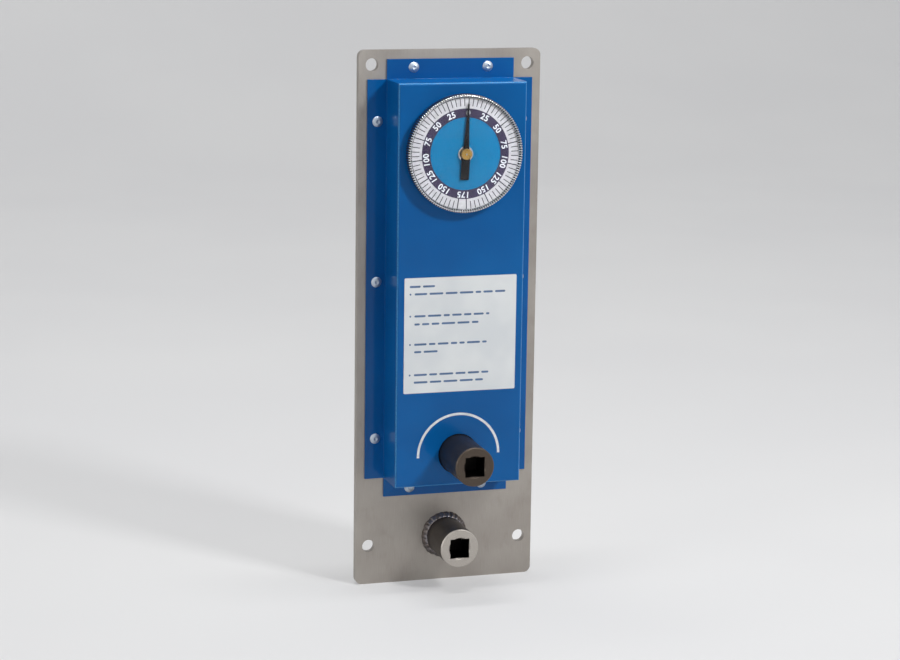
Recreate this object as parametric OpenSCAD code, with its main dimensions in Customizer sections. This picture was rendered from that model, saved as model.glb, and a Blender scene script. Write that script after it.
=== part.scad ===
// Torque tester: a wall plate that carries a folded cover with a zeroing dial, a square drive
// socket that bends a steel beam, and a fixed square socket for exercising a wrench.
// It is drawn lying down, with x to the right, y up the plate and z out of its face.
// The facing module then stands it up, so that its front looks towards -Y and +Z is up.
// The origin is the middle of the four wall bolts, on the back face of the plate.

/* [Back plate] */
// Width of the back plate
plate_w = 120.65; // [118:0.05:130]
// Height of the back plate
plate_h = 349.25; // [346:0.05:362]
// Thickness of the back plate
plate_t = 4.76; // [4.4:0.01:6]
// Radius of the plate's corners
plate_corner_r = 4.5; // [2:0.1:7]
// Diameter of the wall bolt holes
bolt_hole_d = 8.3; // [6:0.1:9]
// Distance of the wall bolts from the plate's side edges
bolt_side = 8.725; // [7:0.025:12]
// Height of the lower wall bolts above the plate's lower edge
bolt_low = 25.7; // [24:0.1:26.5]
// Depth of the upper wall bolts below the plate's upper edge
bolt_high = 9.25; // [8:0.05:11]

/* [Cover] */
// Width of the cover's box
cover_w = 84; // [82:0.1:86]
// Depth of the cover, from the plate to its front
cover_d = 29; // [28.4:0.1:34]
// Thickness of the sheet metal
sheet_t = 1.2; // [1:0.1:2]
// Inside radius of the folds
fold_r = 0.3; // [0.2:0.1:2]
// Width of the four flanges
flange_w = 12.7; // [12:0.1:13.5]
// Height of the cover's box above the plate's lower edge
cover_low = 71.4; // [70:0.1:73]
// Depth of the cover's box below the plate's upper edge
cover_high = 18.45; // [17:0.05:20]
// Clearance of the cover round the drive socket
cover_gap = 0.6; // [0.4:0.1:2]

/* [Cover screws] */
// Diameter of a cover screw's head
cap_d = 6.8; // [5.6:0.1:8]
// Height of a cover screw's head
cap_h = 1.9; // [1.4:0.1:2.6]
// Size across the flats of its key socket
cap_key = 2.4; // [1.5:0.1:3]
// Diameter of its shank
cap_shank_d = 3.5; // [2.5:0.1:4]
// Distance between the two upper screws, and between the two lower ones
end_screw_span = 49; // [30:0.5:60]
// Distance of the outer side screws from the ends of the cover's box
side_screw_end = 26.6; // [15:0.1:40]
// Distance of the upper and lower screws from the wall of the cover's box
end_screw_out = 7.4; // [6.5:0.1:8.5]
// Distance of the side screws from the wall of the cover's box
side_screw_out = 6; // [5.5:0.1:8.5]

/* [Panel] */
// Width of the white panel
panel_w = 74.4; // [60:0.1:76]
// Thickness of the white panel
panel_t = 0.3; // [0.2:0.05:0.8]
// Radius of the panel's corners
panel_r = 0.8; // [0.4:0.1:3]
// Height of the panel's lower edge above the drive axis
panel_low = 41.4; // [32:0.1:50]
// Clearance between the panel's upper edge and the bezel
panel_gap = 41.35; // [30:0.05:55]

/* [Sockets] */
// Outside diameter of both sockets
socket_d = 25.4; // [24:0.1:28]
// Size across the flats of the square drive
square_w = 12.8; // [12.75:0.01:12.95]
// Depth of the square drive
square_deep = 17.5; // [14:0.1:22]
// Width of the flare at the square's mouth
square_flare = 1; // [0.3:0.1:1.5]
// Width of the chamfer round a socket's face
socket_edge = 0.7; // [0.3:0.1:1.5]
// Reach of the drive socket in front of the cover
drive_reach = 36; // [30:0.1:44]
// Reach of the exercise socket in front of the plate
exercise_reach = 35.5; // [28:0.1:42]
// Height of the exercise socket above the plate's lower edge
exercise_low = 30.2; // [28:0.1:34]
// Width of the weld on the plate round the exercise socket
weld_leg = 3.1; // [2.5:0.1:6]
// Height of the weld up the exercise socket
weld_rise = 4.8; // [2.5:0.1:6]

/* [Drive] */
// Height of the drive axis above the cover's lower wall
drive_rise = 20.4; // [20:0.1:22]
// Diameter of the rear journal
journal_d = 16; // [14:0.1:16.5]
// Size across the flats of the spindle's hexagon
hex_af = 18; // [17:0.1:18.5]
// Radius of the beam hub
hub_r = 17.5; // [17.2:0.1:18]
// Thickness of each cheek that grips the beam
cheek_t = 7; // [5:0.1:8]
// Height of the hub's slot floor above the drive axis
slot_low = 15; // [13.5:0.1:17]
// Height of the hub's cheeks above the drive axis
hub_high = 34; // [31:0.1:40]
// Diameter of the beam pins
beam_pin_d = 5; // [3:0.1:5.5]
// Width of the flex beam
beam_w = 10.5; // [8:0.1:12]
// Clearance between the beam's tip and the movement's base plate
beam_tip_gap = 19; // [10:0.5:30]
// Distance of the beam's two broad faces from those of its hub
beam_inset = 0.5; // [0.3:0.1:1]

/* [Bearings] */
// Wall of the two spindle bushings
bushing_wall = 2; // [1.5:0.1:2.5]
// Thickness of the bushing flanges
bushing_flange_t = 1.5; // [1:0.1:2]
// Width of the bushing flanges
bushing_flange_w = 2.8; // [2:0.1:2.9]
// Thickness of the thrust washer
washer_t = 1; // [0.6:0.1:1.5]
// End play of the spindle, at each end
end_play = 0.25; // [0.15:0.05:0.4]
// Radial clearance of a shaft that turns in its bearing
run_gap = 0.05; // [0.02:0.01:0.1]
// Front wall of the bearing bridge
bridge_wall = 6; // [5:0.1:7]
// Clearance of the bearing bridge under the cover's front and over its lower wall
bridge_gap = 1; // [0.6:0.1:2]
// Clearance of the bearing bridge at the cover's sides
bridge_side = 2.5; // [1:0.1:4]
// Clearance of the bearing bridge's legs round the hub
bridge_hub_gap = 8; // [5:0.1:9]

/* [Reaction posts] */
// Width of a reaction post
post_w = 10; // [8:0.1:12]
// Height of a reaction post up the plate
post_h = 20; // [18:0.1:24]
// Space between the beam and a post
post_gap = 7; // [4:0.1:8]
// Diameter of the calibration screws
set_d = 6; // [5:0.1:7]
// Size across the flats of the lock nuts
nut_af = 10; // [9:0.1:11]
// Thickness of the lock nuts
nut_t = 5; // [3:0.1:6]

/* [Indicator arm] */
// Thickness of the indicator arm
arm_t = 3; // [2:0.1:3.5]
// Width of the arm above the hub
arm_low_w = 18; // [14:0.1:20]
// Width of the arm below its head
arm_high_w = 12; // [8:0.1:14]
// Width of the bars round the arm's window
arm_bar = 5; // [4.5:0.1:6]
// Clearance of the arm's window round the pinion
window_gap = 1.5; // [1:0.1:2]

/* [Gearing] */
// Turns of the pointer for one turn of the drive
turn_ratio = 60; // [56:1:64]
// Teeth of the pinion
pinion_teeth = 10; // [10:1:12]
// Play between the flanks of the teeth
backlash = 0.16; // [0.1:0.01:0.2]
// Thickness of the toothed sector
sector_t = 2.5; // [2:0.1:3]

/* [Movement] */
// Height of the two movement plates
move_h = 52; // [50:0.5:56]
// Thickness of the movement plates
move_t = 2.5; // [2:0.1:3]
// Clearance of the movement plates inside the cover's walls
move_gap = 3; // [2:0.1:4]
// Diameter of the pillars
pillar_d = 7; // [6:0.1:8]
// Diameter of the standoffs
standoff_d = 8; // [7:0.1:9]
// Clearance between the indicator arm and the movement's bridge plate
arm_gap = 2.4; // [2:0.1:2.8]
// Diameter of the pointer shaft
shaft_d = 2.4; // [2:0.1:2.8]
// Outside diameter of the pivot bushings
pivot_d = 6; // [5:0.1:7]
// Number of turns of the hairspring
hair_turns = 4; // [3:1:5]
// Outer radius of the hairspring
hair_r = 11; // [9:0.1:12]
// Thickness of the hairspring's strip
hair_t = 0.35; // [0.25:0.05:0.5]
// Height of the hairspring's strip
hair_h = 1.6; // [1:0.1:2]

/* [Dial] */
// Depth of the dial axis below the top of the cover's box
dial_drop = 44; // [42:0.1:46]
// Outside diameter of the knurled bezel
bezel_d = 75.1; // [74:0.1:77]
// Number of serrations round the bezel
knurl_count = 150; // [120:1:180]
// Depth of the serrations
knurl_deep = 0.5; // [0.3:0.05:0.6]
// Wall of the bezel behind the serrations
bezel_wall = 1.95; // [1.7:0.05:2.4]
// Height of the dial face above the cover
face_rise = 5.7; // [5.3:0.1:8]
// Thickness of the dial face
face_t = 0.8; // [0.5:0.1:1.2]
// Height of the bezel's front above the dial face
bezel_rise = 2.2; // [2:0.1:3]
// Thickness of the crystal
crystal_t = 1.5; // [1.2:0.1:1.6]
// Rise of the crystal's dome
dome_rise = 2.3; // [2:0.1:5]
// Length of the pointer, from its axis to its tip
pointer_len = 32.1; // [28:0.1:33]
// Length of the pointer's tail
tail_len = 16.3; // [10:0.1:20]
// Width of the pointer at its hub
pointer_w = 3.9; // [3:0.1:5]
// Width of the pointer's tail
tail_w = 5.4; // [4:0.1:6]
// Thickness of the pointer
pointer_t = 0.6; // [0.4:0.1:0.8]
// Turn of the pointer at rest, clockwise
pointer_rest = 2.5; // [-5:0.5:5]
// Diameter of the pointer's hub
hub_cap_d = 6.8; // [6.2:0.1:7.2]
// Diameter of the eyelet in the middle of the face
eyelet_d = 9.8; // [9.4:0.1:12]

/* [Hidden] */

// Roundness of large, common and small circles
large_fn = 120;
$fn = 48;
small_fn = 24;
// Overrun of every cut
cut = 1;
// Clearance of a screw, pin or bushing in the hole that holds it
fit_gap = 0.05;
// Distance of what ends inside the plate from its back face
back_gap = 0.3;

// Places up the plate
bolt_span_x = plate_w - 2 * bolt_side;
bolt_span_y = plate_h - bolt_low - bolt_high;
cover_h = plate_h - cover_low - cover_high;
axis_span = cover_h - drive_rise - dial_drop;
beam_high = axis_span - move_h / 2 - beam_tip_gap;
panel_h = axis_span - bezel_d / 2 - panel_low - panel_gap;
plate_low = -bolt_span_y / 2 - bolt_low;
plate_mid = plate_low + plate_h / 2;
box_low = plate_low + cover_low;
box_mid = box_low + cover_h / 2;
drive_y = box_low + drive_rise;
dial_y = drive_y + axis_span;
exercise_y = plate_low + exercise_low;

// Places out of the plate, from the back face outwards
cover_front = plate_t + cover_d;
cover_in = cover_front - sheet_t;
bridge_front = cover_in - bridge_gap;
bridge_in = bridge_front - bridge_wall;
arm_front = bridge_in - bushing_flange_t - end_play;
arm_back = arm_front - arm_t;
hub_front = arm_back;
hub_back = plate_t + bushing_flange_t + washer_t + end_play;
beam_back = hub_back + beam_inset;
beam_front = hub_front - beam_inset;
beam_mid = (beam_back + beam_front) / 2;
sector_back = arm_back - sector_t;

// Teeth: the sector has them on the inside, as part of a ring of sector_teeth teeth
sector_teeth = turn_ratio * pinion_teeth;
tooth_unit = 2 * axis_span / (sector_teeth - pinion_teeth);
pinion_pitch_r = tooth_unit * pinion_teeth / 2;
sector_pitch_r = axis_span + pinion_pitch_r;
tooth_step = 360 / sector_teeth;
half_swing = 180 / turn_ratio;
pressure_angle = 20;
tooth_w = (PI * tooth_unit - backlash) / 2;
pinion_tip_share = 1;
pinion_root_share = 0.75;
sector_tip_share = 0.55;
sector_root_share = 1.2;
pinion_tip_r = pinion_pitch_r + pinion_tip_share * tooth_unit;
pinion_root_r = pinion_pitch_r - pinion_root_share * tooth_unit;
sector_tip_r = sector_pitch_r - sector_tip_share * tooth_unit;
sector_root_r = sector_pitch_r + sector_root_share * tooth_unit;
sector_half_count = ceil(half_swing / tooth_step + 2);
pinion_over = 0.6;

// Spindle bearings
bridge_w = cover_w - 2 * sheet_t - 2 * bridge_side;
bridge_h = 2 * (drive_rise - sheet_t - bridge_gap);
bridge_leg_w = bridge_w / 2 - hub_r - bridge_hub_gap;
rear_bushing_r = journal_d / 2 + run_gap + bushing_wall;
front_bushing_r = socket_d / 2 + run_gap + bushing_wall;
fork_w = beam_w + 2 * cheek_t;
weld_hollow_share = 1.25;

// Arm head
swing_w = (axis_span + pinion_tip_r) * sin(half_swing);
window_w = 2 * (swing_w + pinion_tip_r + window_gap);
window_sag_share = 0.04;
window_low = dial_y - pinion_tip_r - window_gap - window_sag_share * window_w;
window_high = drive_y + sector_root_r + tooth_unit / 2;
head_w = window_w + 2 * arm_bar;
head_low = window_low - arm_bar;
head_high = window_high + arm_bar + 2 * window_gap;
head_neck = 18;
sector_high = head_high - tooth_unit;

// Movement
move_w = cover_w - 2 * sheet_t - 2 * move_gap;
move_edge = 4.5;
pinion_back = sector_back - pinion_over;
pinion_front = arm_back + pinion_over;
collet_gap = 0.8;
collet_over = 0.6;
collet_h = hair_h + 2 * collet_over;
collet_front = pinion_back - collet_gap;
collet_back = collet_front - collet_h;
hair_back = collet_back + collet_over;
collet_wall = 1.8;
collet_r = shaft_d / 2 + collet_wall;
hair_in_r = collet_r + hair_t;
hair_pitch = (hair_r - hair_in_r) / hair_turns;
stud_r = 1.25;
base_front = collet_back - collet_gap;
base_back = base_front - move_t;
top_back = arm_front + arm_gap;
top_front = top_back + move_t;
pivot_over = 0.5;
pillar_shank_d = 3;
pillar_bite = 5;

// Dial
bezel_r = bezel_d / 2;
bezel_bore_r = bezel_r - knurl_deep - bezel_wall;
housing_r = bezel_bore_r - run_gap;
housing_rim = 2;
housing_base_t = 2.5;
housing_hole_r = 6;
face_front = cover_front + face_rise;
face_back = face_front - face_t;
face_gap = 0.2;
face_r = bezel_bore_r - face_gap;
ledge_t = 1;
ledge_back = face_back - ledge_t;
ledge_w = 1.7;
rim_gap = 0.3;
housing_rim_front = ledge_back - rim_gap;
bezel_gap = 0.5;
bezel_back = cover_front + bezel_gap;
bezel_front = face_front + bezel_rise;
rebate_deep = 0.8;
rebate_wall = 0.65;
rebate_r = bezel_r - knurl_deep - rebate_wall;
rebate_slope = 0.1;
snap_wire_r = 0.45;
snap_high = 2;
snap_z = cover_front + snap_high;
snap_groove = 0.6;
pointer_gap = 0.8;
pointer_back = face_front + pointer_gap;
pointer_front = pointer_back + pointer_t;
hub_cap_high = 3;
hub_cap_front = face_front + hub_cap_high;
shaft_inset = 0.6;
eyelet_t = 0.4;
eyelet_rim = 1.1;
sleeve_wall = 0.7;
sleeve_r = shaft_d / 2 + sleeve_wall;
hub_cap_over = 0.2;

// Screws
bridge_screw_d = 6;
bridge_screw_bite = 14;
bridge_screw_share = 0.3;
housing_screw_share = 0.74;
post_screw_d = 5;
post_screw_gap = 0.7;
post_screw_bite = beam_mid - plate_t - set_d / 2 - post_screw_gap;
small_screw_d = 3;
arm_screw_d = 2.5;
small_bite = 2 * small_screw_d;
head_per_shank = 2;
pan_h = 1.7;

// Stands the drawing up
module facing() {
  rotate([90, 0, 0]) children();
}

// A flat rectangle of width w and height h with rounded corners, centred
module round_sheet(w, h, r) {
  square([w, h - 2 * r], center = true);
  square([w - 2 * r, h], center = true);
  for (sx = [-1, 1], sy = [-1, 1])
    translate([sx * (w / 2 - r), sy * (h / 2 - r)]) circle(r);
}

// A ring of height h
module ring(r_out, r_in, h, fn = $fn) {
  linear_extrude(h) difference() {
    circle(r_out, $fn = fn);
    circle(r_in, $fn = fn);
  }
}

// A flat-headed screw whose head faces -z and whose shank of length len points along +z
module flat_screw(d, len) {
  head_h = d * (head_per_shank - 1) / 2;
  cylinder(h = head_h, r1 = d * head_per_shank / 2, r2 = d / 2, $fn = small_fn);
  cylinder(h = len, r = d / 2, $fn = small_fn);
}

// The hole for a flat-headed screw, open behind its head
module flat_screw_hole(d, len) {
  head_h = d * (head_per_shank - 1) / 2;
  r = d / 2 + fit_gap;
  head_r = d * head_per_shank / 2 + fit_gap;
  cylinder(h = head_h, r1 = head_r, r2 = r, $fn = small_fn);
  cylinder(h = len + fit_gap, r = r, $fn = small_fn);
  translate([0, 0, -cut]) cylinder(h = cut, r = head_r, $fn = small_fn);
}

// A pan head of height pan_h on a shank that points along -z from under the head
module pan_screw(d, len) {
  cylinder(h = pan_h, r = d * head_per_shank / 2, $fn = small_fn);
  translate([0, 0, -len]) cylinder(h = len, r = d / 2, $fn = small_fn);
}

// The places of the screws and pillars
module at_wall_bolts() {
  for (sx = [-1, 1], sy = [-1, 1])
    translate([sx * bolt_span_x / 2, sy * bolt_span_y / 2]) children();
}

module at_cover_screws() {
  for (sx = [-1, 1], sy = [-1, 1])
    translate([sx * end_screw_span / 2, box_mid + sy * (cover_h / 2 + end_screw_out)]) children();
  for (sx = [-1, 1], row = [-1:1])
    translate([sx * (cover_w / 2 + side_screw_out), box_mid + row * (cover_h / 2 - side_screw_end)])
      children();
}

module at_bridge_screws() {
  for (sx = [-1, 1], sy = [-1, 1])
    translate([sx * (bridge_w - bridge_leg_w) / 2, drive_y + sy * bridge_screw_share * bridge_h]) children();
}

module at_posts() {
  for (sx = [-1, 1])
    translate([sx * (beam_w / 2 + post_gap + post_w / 2), drive_y + beam_high - post_h / 2]) children();
}

module at_post_screws() {
  at_posts() for (sy = [-1, 1])
    translate([0, sy * (post_h / 2 - post_screw_d)]) children();
}

module at_pillars() {
  for (sx = [-1, 1], sy = [-1, 1])
    translate([sx * (move_w / 2 - move_edge), dial_y + sy * (move_h / 2 - move_edge)]) children();
}

module at_housing_screws() {
  for (a = [90, 210, 330])
    translate([0, dial_y]) rotate(a) translate([housing_screw_share * housing_r, 0]) children();
}

// Back plate and the fixed socket
module back_plate() {
  color("#a39a90") facing() difference() {
    translate([0, plate_mid]) linear_extrude(plate_t) round_sheet(plate_w, plate_h, plate_corner_r);
    at_wall_bolts() translate([0, 0, -cut]) cylinder(h = plate_t + 2 * cut, r = bolt_hole_d / 2);
    at_cover_screws() translate([0, 0, back_gap])
      cylinder(h = plate_t, r = cap_shank_d / 2 + fit_gap, $fn = small_fn);
    translate([0, drive_y, -cut])
      cylinder(h = plate_t + 2 * cut, r = rear_bushing_r + fit_gap);
    at_bridge_screws() translate([0, 0, back_gap]) flat_screw_hole(bridge_screw_d, plate_t + cut);
    at_post_screws() translate([0, 0, back_gap]) flat_screw_hole(post_screw_d, plate_t + cut);
    at_pillars() translate([0, 0, back_gap]) flat_screw_hole(small_screw_d, plate_t + cut);
  }
}

// A round bar from z = 0 to its chamfered face, with the square drive cut in that face
module socket_end(len) {
  difference() {
    union() {
      cylinder(h = len - socket_edge, r = socket_d / 2);
      translate([0, 0, len - socket_edge])
        cylinder(h = socket_edge, r1 = socket_d / 2, r2 = socket_d / 2 - socket_edge);
    }
    translate([-square_w / 2, -square_w / 2, len - square_deep])
      cube([square_w, square_w, square_deep + cut]);
    translate([0, 0, len - square_flare])
      cylinder(h = square_flare, r1 = square_w / 2, r2 = square_w / 2 + square_flare);
    translate([0, 0, len])
      cylinder(h = cut, r = square_w / 2 + square_flare);
  }
}

module exercise_socket() {
  color("#4a4038") facing() translate([0, exercise_y, plate_t]) socket_end(exercise_reach);
}

module exercise_weld() {
  inner_r = socket_d / 2 + fit_gap;
  color("#5a5550") facing() translate([0, exercise_y, plate_t])
    rotate_extrude($fn = $fn) difference() {
      translate([inner_r, 0]) square([weld_leg, weld_rise]);
      translate([inner_r, 0]) scale([weld_leg, weld_rise])
        translate([weld_hollow_share, weld_hollow_share]) circle(weld_hollow_share);
    }
}

// Folded cover
// A block of width w and height h that stands out by d, with its front edges rounded by r
module rounded_front(w, h, d, r) {
  intersection() {
    translate([0, h / 2, 0]) rotate([90, 0, 0]) linear_extrude(h) front_section(w, d, r);
    translate([-w / 2, 0, 0]) rotate([90, 0, 90]) linear_extrude(w) front_section(h, d, r);
  }
}

module front_section(w, d, r) {
  translate([-w / 2, 0]) square([w, d - r]);
  translate([-w / 2 + r, 0]) square([w - 2 * r, d]);
  for (s = [-1, 1])
    translate([s * (w / 2 - r), d - r]) circle(r);
}

// The inside corner of a fold, of length len along x, that fills y > 0 and z > 0 near the edge
module fold_corner(len) {
  rotate([90, 0, 90]) translate([0, 0, -len / 2]) linear_extrude(len) difference() {
    square(fold_r);
    translate([fold_r, fold_r]) circle(fold_r);
  }
}

// A flange of length len along x that starts at y = 0
module flange(len) {
  translate([-len / 2, 0, 0]) cube([len, flange_w, sheet_t]);
  translate([0, 0, sheet_t]) fold_corner(len);
}

module cover() {
  in_w = cover_w - 2 * sheet_t;
  in_h = cover_h - 2 * sheet_t;
  color("#0058a8") facing() difference() {
    translate([0, box_mid, plate_t]) {
      difference() {
        rounded_front(cover_w, cover_h, cover_d, fold_r + sheet_t);
        rounded_front(in_w, in_h, cover_d - sheet_t, fold_r);
        translate([-in_w / 2, -in_h / 2, -cut]) cube([in_w, in_h, 2 * cut]);
      }
      for (a = [0, 180])
        rotate(a) translate([0, cover_h / 2, 0]) flange(cover_w);
      for (a = [90, 270])
        rotate(a) translate([0, cover_w / 2, 0]) flange(cover_h);
    }
    at_cover_screws() translate([0, 0, plate_t - cut])
      cylinder(h = sheet_t + 2 * cut, r = cap_shank_d / 2 + fit_gap, $fn = small_fn);
    translate([0, drive_y, cover_in - cut])
      cylinder(h = sheet_t + 2 * cut, r = socket_d / 2 + cover_gap);
    translate([0, dial_y, cover_in - cut])
      cylinder(h = sheet_t + 2 * cut, r = housing_hole_r);
    at_housing_screws() translate([0, 0, cover_in - cut])
      cylinder(h = sheet_t + 2 * cut, r = small_screw_d / 2 + fit_gap, $fn = small_fn);
  }
}

module cover_screws() {
  dome_r = (cap_d * cap_d / 4 + cap_h * cap_h) / (2 * cap_h);
  color("#c8c8cc") facing() at_cover_screws() translate([0, 0, plate_t + sheet_t]) {
    difference() {
      rotate_extrude($fn = small_fn) intersection() {
        translate([0, cap_h - dome_r]) circle(dome_r, $fn = large_fn);
        square([cap_d / 2, cap_h]);
      }
      translate([0, 0, cap_h / 2]) cylinder(h = cap_h, d = cap_key / cos(30), $fn = 6);
    }
    translate([0, 0, -sheet_t - plate_t + 2 * back_gap])
      cylinder(h = sheet_t + plate_t - 2 * back_gap, r = cap_shank_d / 2, $fn = small_fn);
  }
}

module instruction_panel() {
  color("#f2f2f0") facing() translate([0, drive_y + panel_low + panel_h / 2, cover_front])
    linear_extrude(panel_t) round_sheet(panel_w, panel_h, panel_r);
}

module bearing_bridge() {
  slot_w = bridge_w - 2 * bridge_leg_w;
  color("#8b8f94") facing() difference() {
    translate([-bridge_w / 2, drive_y - bridge_h / 2, plate_t])
      cube([bridge_w, bridge_h, bridge_front - plate_t]);
    translate([-slot_w / 2, drive_y - bridge_h / 2 - cut, plate_t - cut])
      cube([slot_w, bridge_h + 2 * cut, bridge_in - plate_t + cut]);
    translate([0, drive_y, bridge_in - cut])
      cylinder(h = bridge_wall + 2 * cut, r = front_bushing_r + fit_gap);
    at_bridge_screws() translate([0, 0, plate_t - cut])
      cylinder(h = bridge_screw_bite + 2 * cut, r = bridge_screw_d / 2 + fit_gap, $fn = small_fn);
  }
}

module bridge_screws() {
  color("#b8babd") facing() at_bridge_screws() translate([0, 0, back_gap])
    flat_screw(bridge_screw_d, plate_t - back_gap + bridge_screw_bite);
}

module front_bushing() {
  color("#b07a3c") facing() translate([0, drive_y, bridge_in]) {
    ring(front_bushing_r, socket_d / 2 + run_gap, bridge_wall);
    translate([0, 0, -bushing_flange_t])
      ring(front_bushing_r + bushing_flange_w, socket_d / 2 + run_gap, bushing_flange_t);
  }
}

module rear_bushing() {
  color("#b07a3c") facing() translate([0, drive_y, 0]) {
    translate([0, 0, back_gap]) ring(rear_bushing_r, journal_d / 2 + run_gap, plate_t - back_gap);
    translate([0, 0, plate_t])
      ring(rear_bushing_r + bushing_flange_w, journal_d / 2 + run_gap, bushing_flange_t);
  }
}

module thrust_washer() {
  color("#d8d8da") facing() translate([0, drive_y, plate_t + bushing_flange_t])
    ring(rear_bushing_r + bushing_flange_w, journal_d / 2 + run_gap, washer_t);
}

// Reaction posts and calibration screws
module reaction_posts() {
  tall = arm_back - plate_t - 2 * beam_inset;
  color("#8b8f94") facing() difference() {
    at_posts() translate([-post_w / 2, -post_h / 2, plate_t]) cube([post_w, post_h, tall]);
    at_posts() translate([-post_w / 2 - cut, 0, beam_mid]) rotate([0, 90, 0])
      cylinder(h = post_w + 2 * cut, r = set_d / 2 + fit_gap, $fn = small_fn);
    at_post_screws() translate([0, 0, plate_t - cut])
      cylinder(h = post_screw_bite + 2 * cut, r = post_screw_d / 2 + fit_gap, $fn = small_fn);
  }
}

module post_screws() {
  color("#b8babd") facing() at_post_screws() translate([0, 0, back_gap])
    flat_screw(post_screw_d, plate_t - back_gap + post_screw_bite);
}

// Runs the children once on each side, with x pointing away from the beam
module on_both_sides() {
  for (s = [0, 1])
    mirror([s, 0, 0]) children();
}

module calibration_screws() {
  tip = beam_w / 2 + 2 * fit_gap;
  len = post_gap + post_w + nut_t + set_d / 2;
  color("#b8babd") facing() on_both_sides()
    translate([tip, drive_y + beam_high - post_h / 2, beam_mid]) rotate([0, 90, 0]) difference() {
      cylinder(h = len, r = set_d / 2, $fn = small_fn);
      translate([0, 0, len - set_d / 2]) cylinder(h = set_d, d = set_d / 2 / cos(30), $fn = 6);
    }
}

module lock_nuts() {
  color("#c8c8cc") facing() on_both_sides()
    translate([beam_w / 2 + post_gap + post_w, drive_y + beam_high - post_h / 2, beam_mid])
      rotate([0, 90, 0]) difference() {
        rotate(30) cylinder(h = nut_t, d = nut_af / cos(30), $fn = 6);
        translate([0, 0, -cut]) cylinder(h = nut_t + 2 * cut, r = set_d / 2 + fit_gap, $fn = small_fn);
      }
}

// Movement frame
module movement_standoffs() {
  color("#c9a24a") facing() at_pillars() translate([0, 0, plate_t])
    ring(standoff_d / 2, pillar_shank_d / 2 + fit_gap, base_back - plate_t, small_fn);
}

module movement_plate(hole_r) {
  difference() {
    translate([-move_w / 2, dial_y - move_h / 2, 0]) cube([move_w, move_h, move_t]);
    at_pillars() translate([0, 0, -cut])
      cylinder(h = move_t + 2 * cut, r = pillar_shank_d / 2 + fit_gap, $fn = small_fn);
    translate([0, dial_y, -cut]) cylinder(h = move_t + 2 * cut, r = hole_r, $fn = small_fn);
  }
}

module movement_base() {
  color("#c9a24a") facing() translate([0, 0, base_back]) difference() {
    movement_plate(pivot_d / 2 + fit_gap);
    at_stud() translate([0, 0, -cut])
      cylinder(h = move_t + 2 * cut, r = stud_r + fit_gap, $fn = small_fn);
  }
}

module movement_bridge() {
  color("#c9a24a") facing() translate([0, 0, top_back]) movement_plate(pivot_d / 2 + fit_gap);
}

module movement_pillars() {
  color("#c9a24a") facing() at_pillars() translate([0, 0, base_front])
    ring(pillar_d / 2, pillar_shank_d / 2 + fit_gap, top_back - base_front, small_fn);
}

module standoff_screws() {
  color("#b8babd") facing() at_pillars() translate([0, 0, back_gap])
    flat_screw(small_screw_d, base_front - back_gap + pillar_bite);
}

module movement_screws() {
  color("#b8babd") facing() at_pillars() translate([0, 0, top_front])
    pan_screw(small_screw_d, move_t + pillar_bite / 2);
}

module pivot_bushing() {
  ring(pivot_d / 2, shaft_d / 2 + run_gap, move_t + 2 * pivot_over, small_fn);
}

module rear_pivot_bushing() {
  color("#d9b458") facing() translate([0, dial_y, base_back - pivot_over]) pivot_bushing();
}

module front_pivot_bushing() {
  color("#d9b458") facing() translate([0, dial_y, top_back - pivot_over]) pivot_bushing();
}

// Hairspring, from the collet on the shaft out to a stud on the movement base
function on_hair(turn, side) =
  (hair_in_r + hair_pitch * turn + side * hair_t / 2) * [cos(360 * turn), sin(360 * turn)];

module at_stud() {
  translate([hair_r + stud_r + hair_t, dial_y]) children();
}

module hairspring_stud() {
  color("#c8c8cc") facing() at_stud() translate([0, 0, base_back])
    cylinder(h = collet_front - base_back, r = stud_r, $fn = small_fn);
}

module hairspring() {
  steps = 18;
  count = steps * hair_turns;
  outline = concat(
    [for (i = [0:count]) on_hair(i / steps, 1)],
    [for (i = [count:-1:0]) on_hair(i / steps, -1)]
  );
  color("#5570a0") facing() translate([0, dial_y, hair_back]) linear_extrude(hair_h) polygon(outline);
}

// Dial housing on the cover
module dial_housing() {
  color("#2b2f36") facing() translate([0, dial_y, 0]) difference() {
    union() {
      translate([0, 0, cover_front]) ring(housing_r, housing_hole_r, housing_base_t, large_fn);
      translate([0, 0, cover_front])
        ring(housing_r, housing_r - housing_rim, housing_rim_front - cover_front, large_fn);
    }
    translate([0, 0, snap_z - snap_groove])
      ring(housing_r + cut, housing_r - snap_groove, 2 * snap_groove, large_fn);
    translate([0, -dial_y, cover_front - cut]) at_housing_screws()
      cylinder(h = housing_base_t + 2 * cut, r = small_screw_d / 2 + fit_gap, $fn = small_fn);
  }
}

module housing_screws() {
  color("#b8babd") facing() at_housing_screws() translate([0, 0, cover_in]) mirror([0, 0, 1])
    pan_screw(small_screw_d, sheet_t + housing_base_t - back_gap);
}

module bezel_snap_ring() {
  color("#c8c8cc") facing() translate([0, dial_y, snap_z])
    rotate_extrude($fn = large_fn) translate([housing_r, 0]) circle(snap_wire_r, $fn = small_fn);
}

// Turning drive
module drive_socket() {
  color("#3c332c") facing() translate([0, drive_y, 0]) {
    translate([0, 0, 2 * back_gap]) cylinder(h = hub_back - 2 * back_gap, r = journal_d / 2);
    translate([0, 0, hub_back]) cylinder(h = arm_front - hub_back, d = hex_af / cos(30), $fn = 6);
    translate([0, 0, arm_front]) socket_end(cover_front + drive_reach - arm_front);
  }
}

module at_arm_screws() {
  for (a = [30, 150, 270])
    translate([0, drive_y]) rotate(a) translate([(hub_r + hex_af / 2 / cos(30)) / 2, 0]) children();
}

module at_beam_pins() {
  pin_shares = [0.3, 0.72];
  for (share = pin_shares)
    translate([0, drive_y + slot_low + share * (hub_high - slot_low), beam_mid])
      rotate([0, 90, 0]) children();
}

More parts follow.
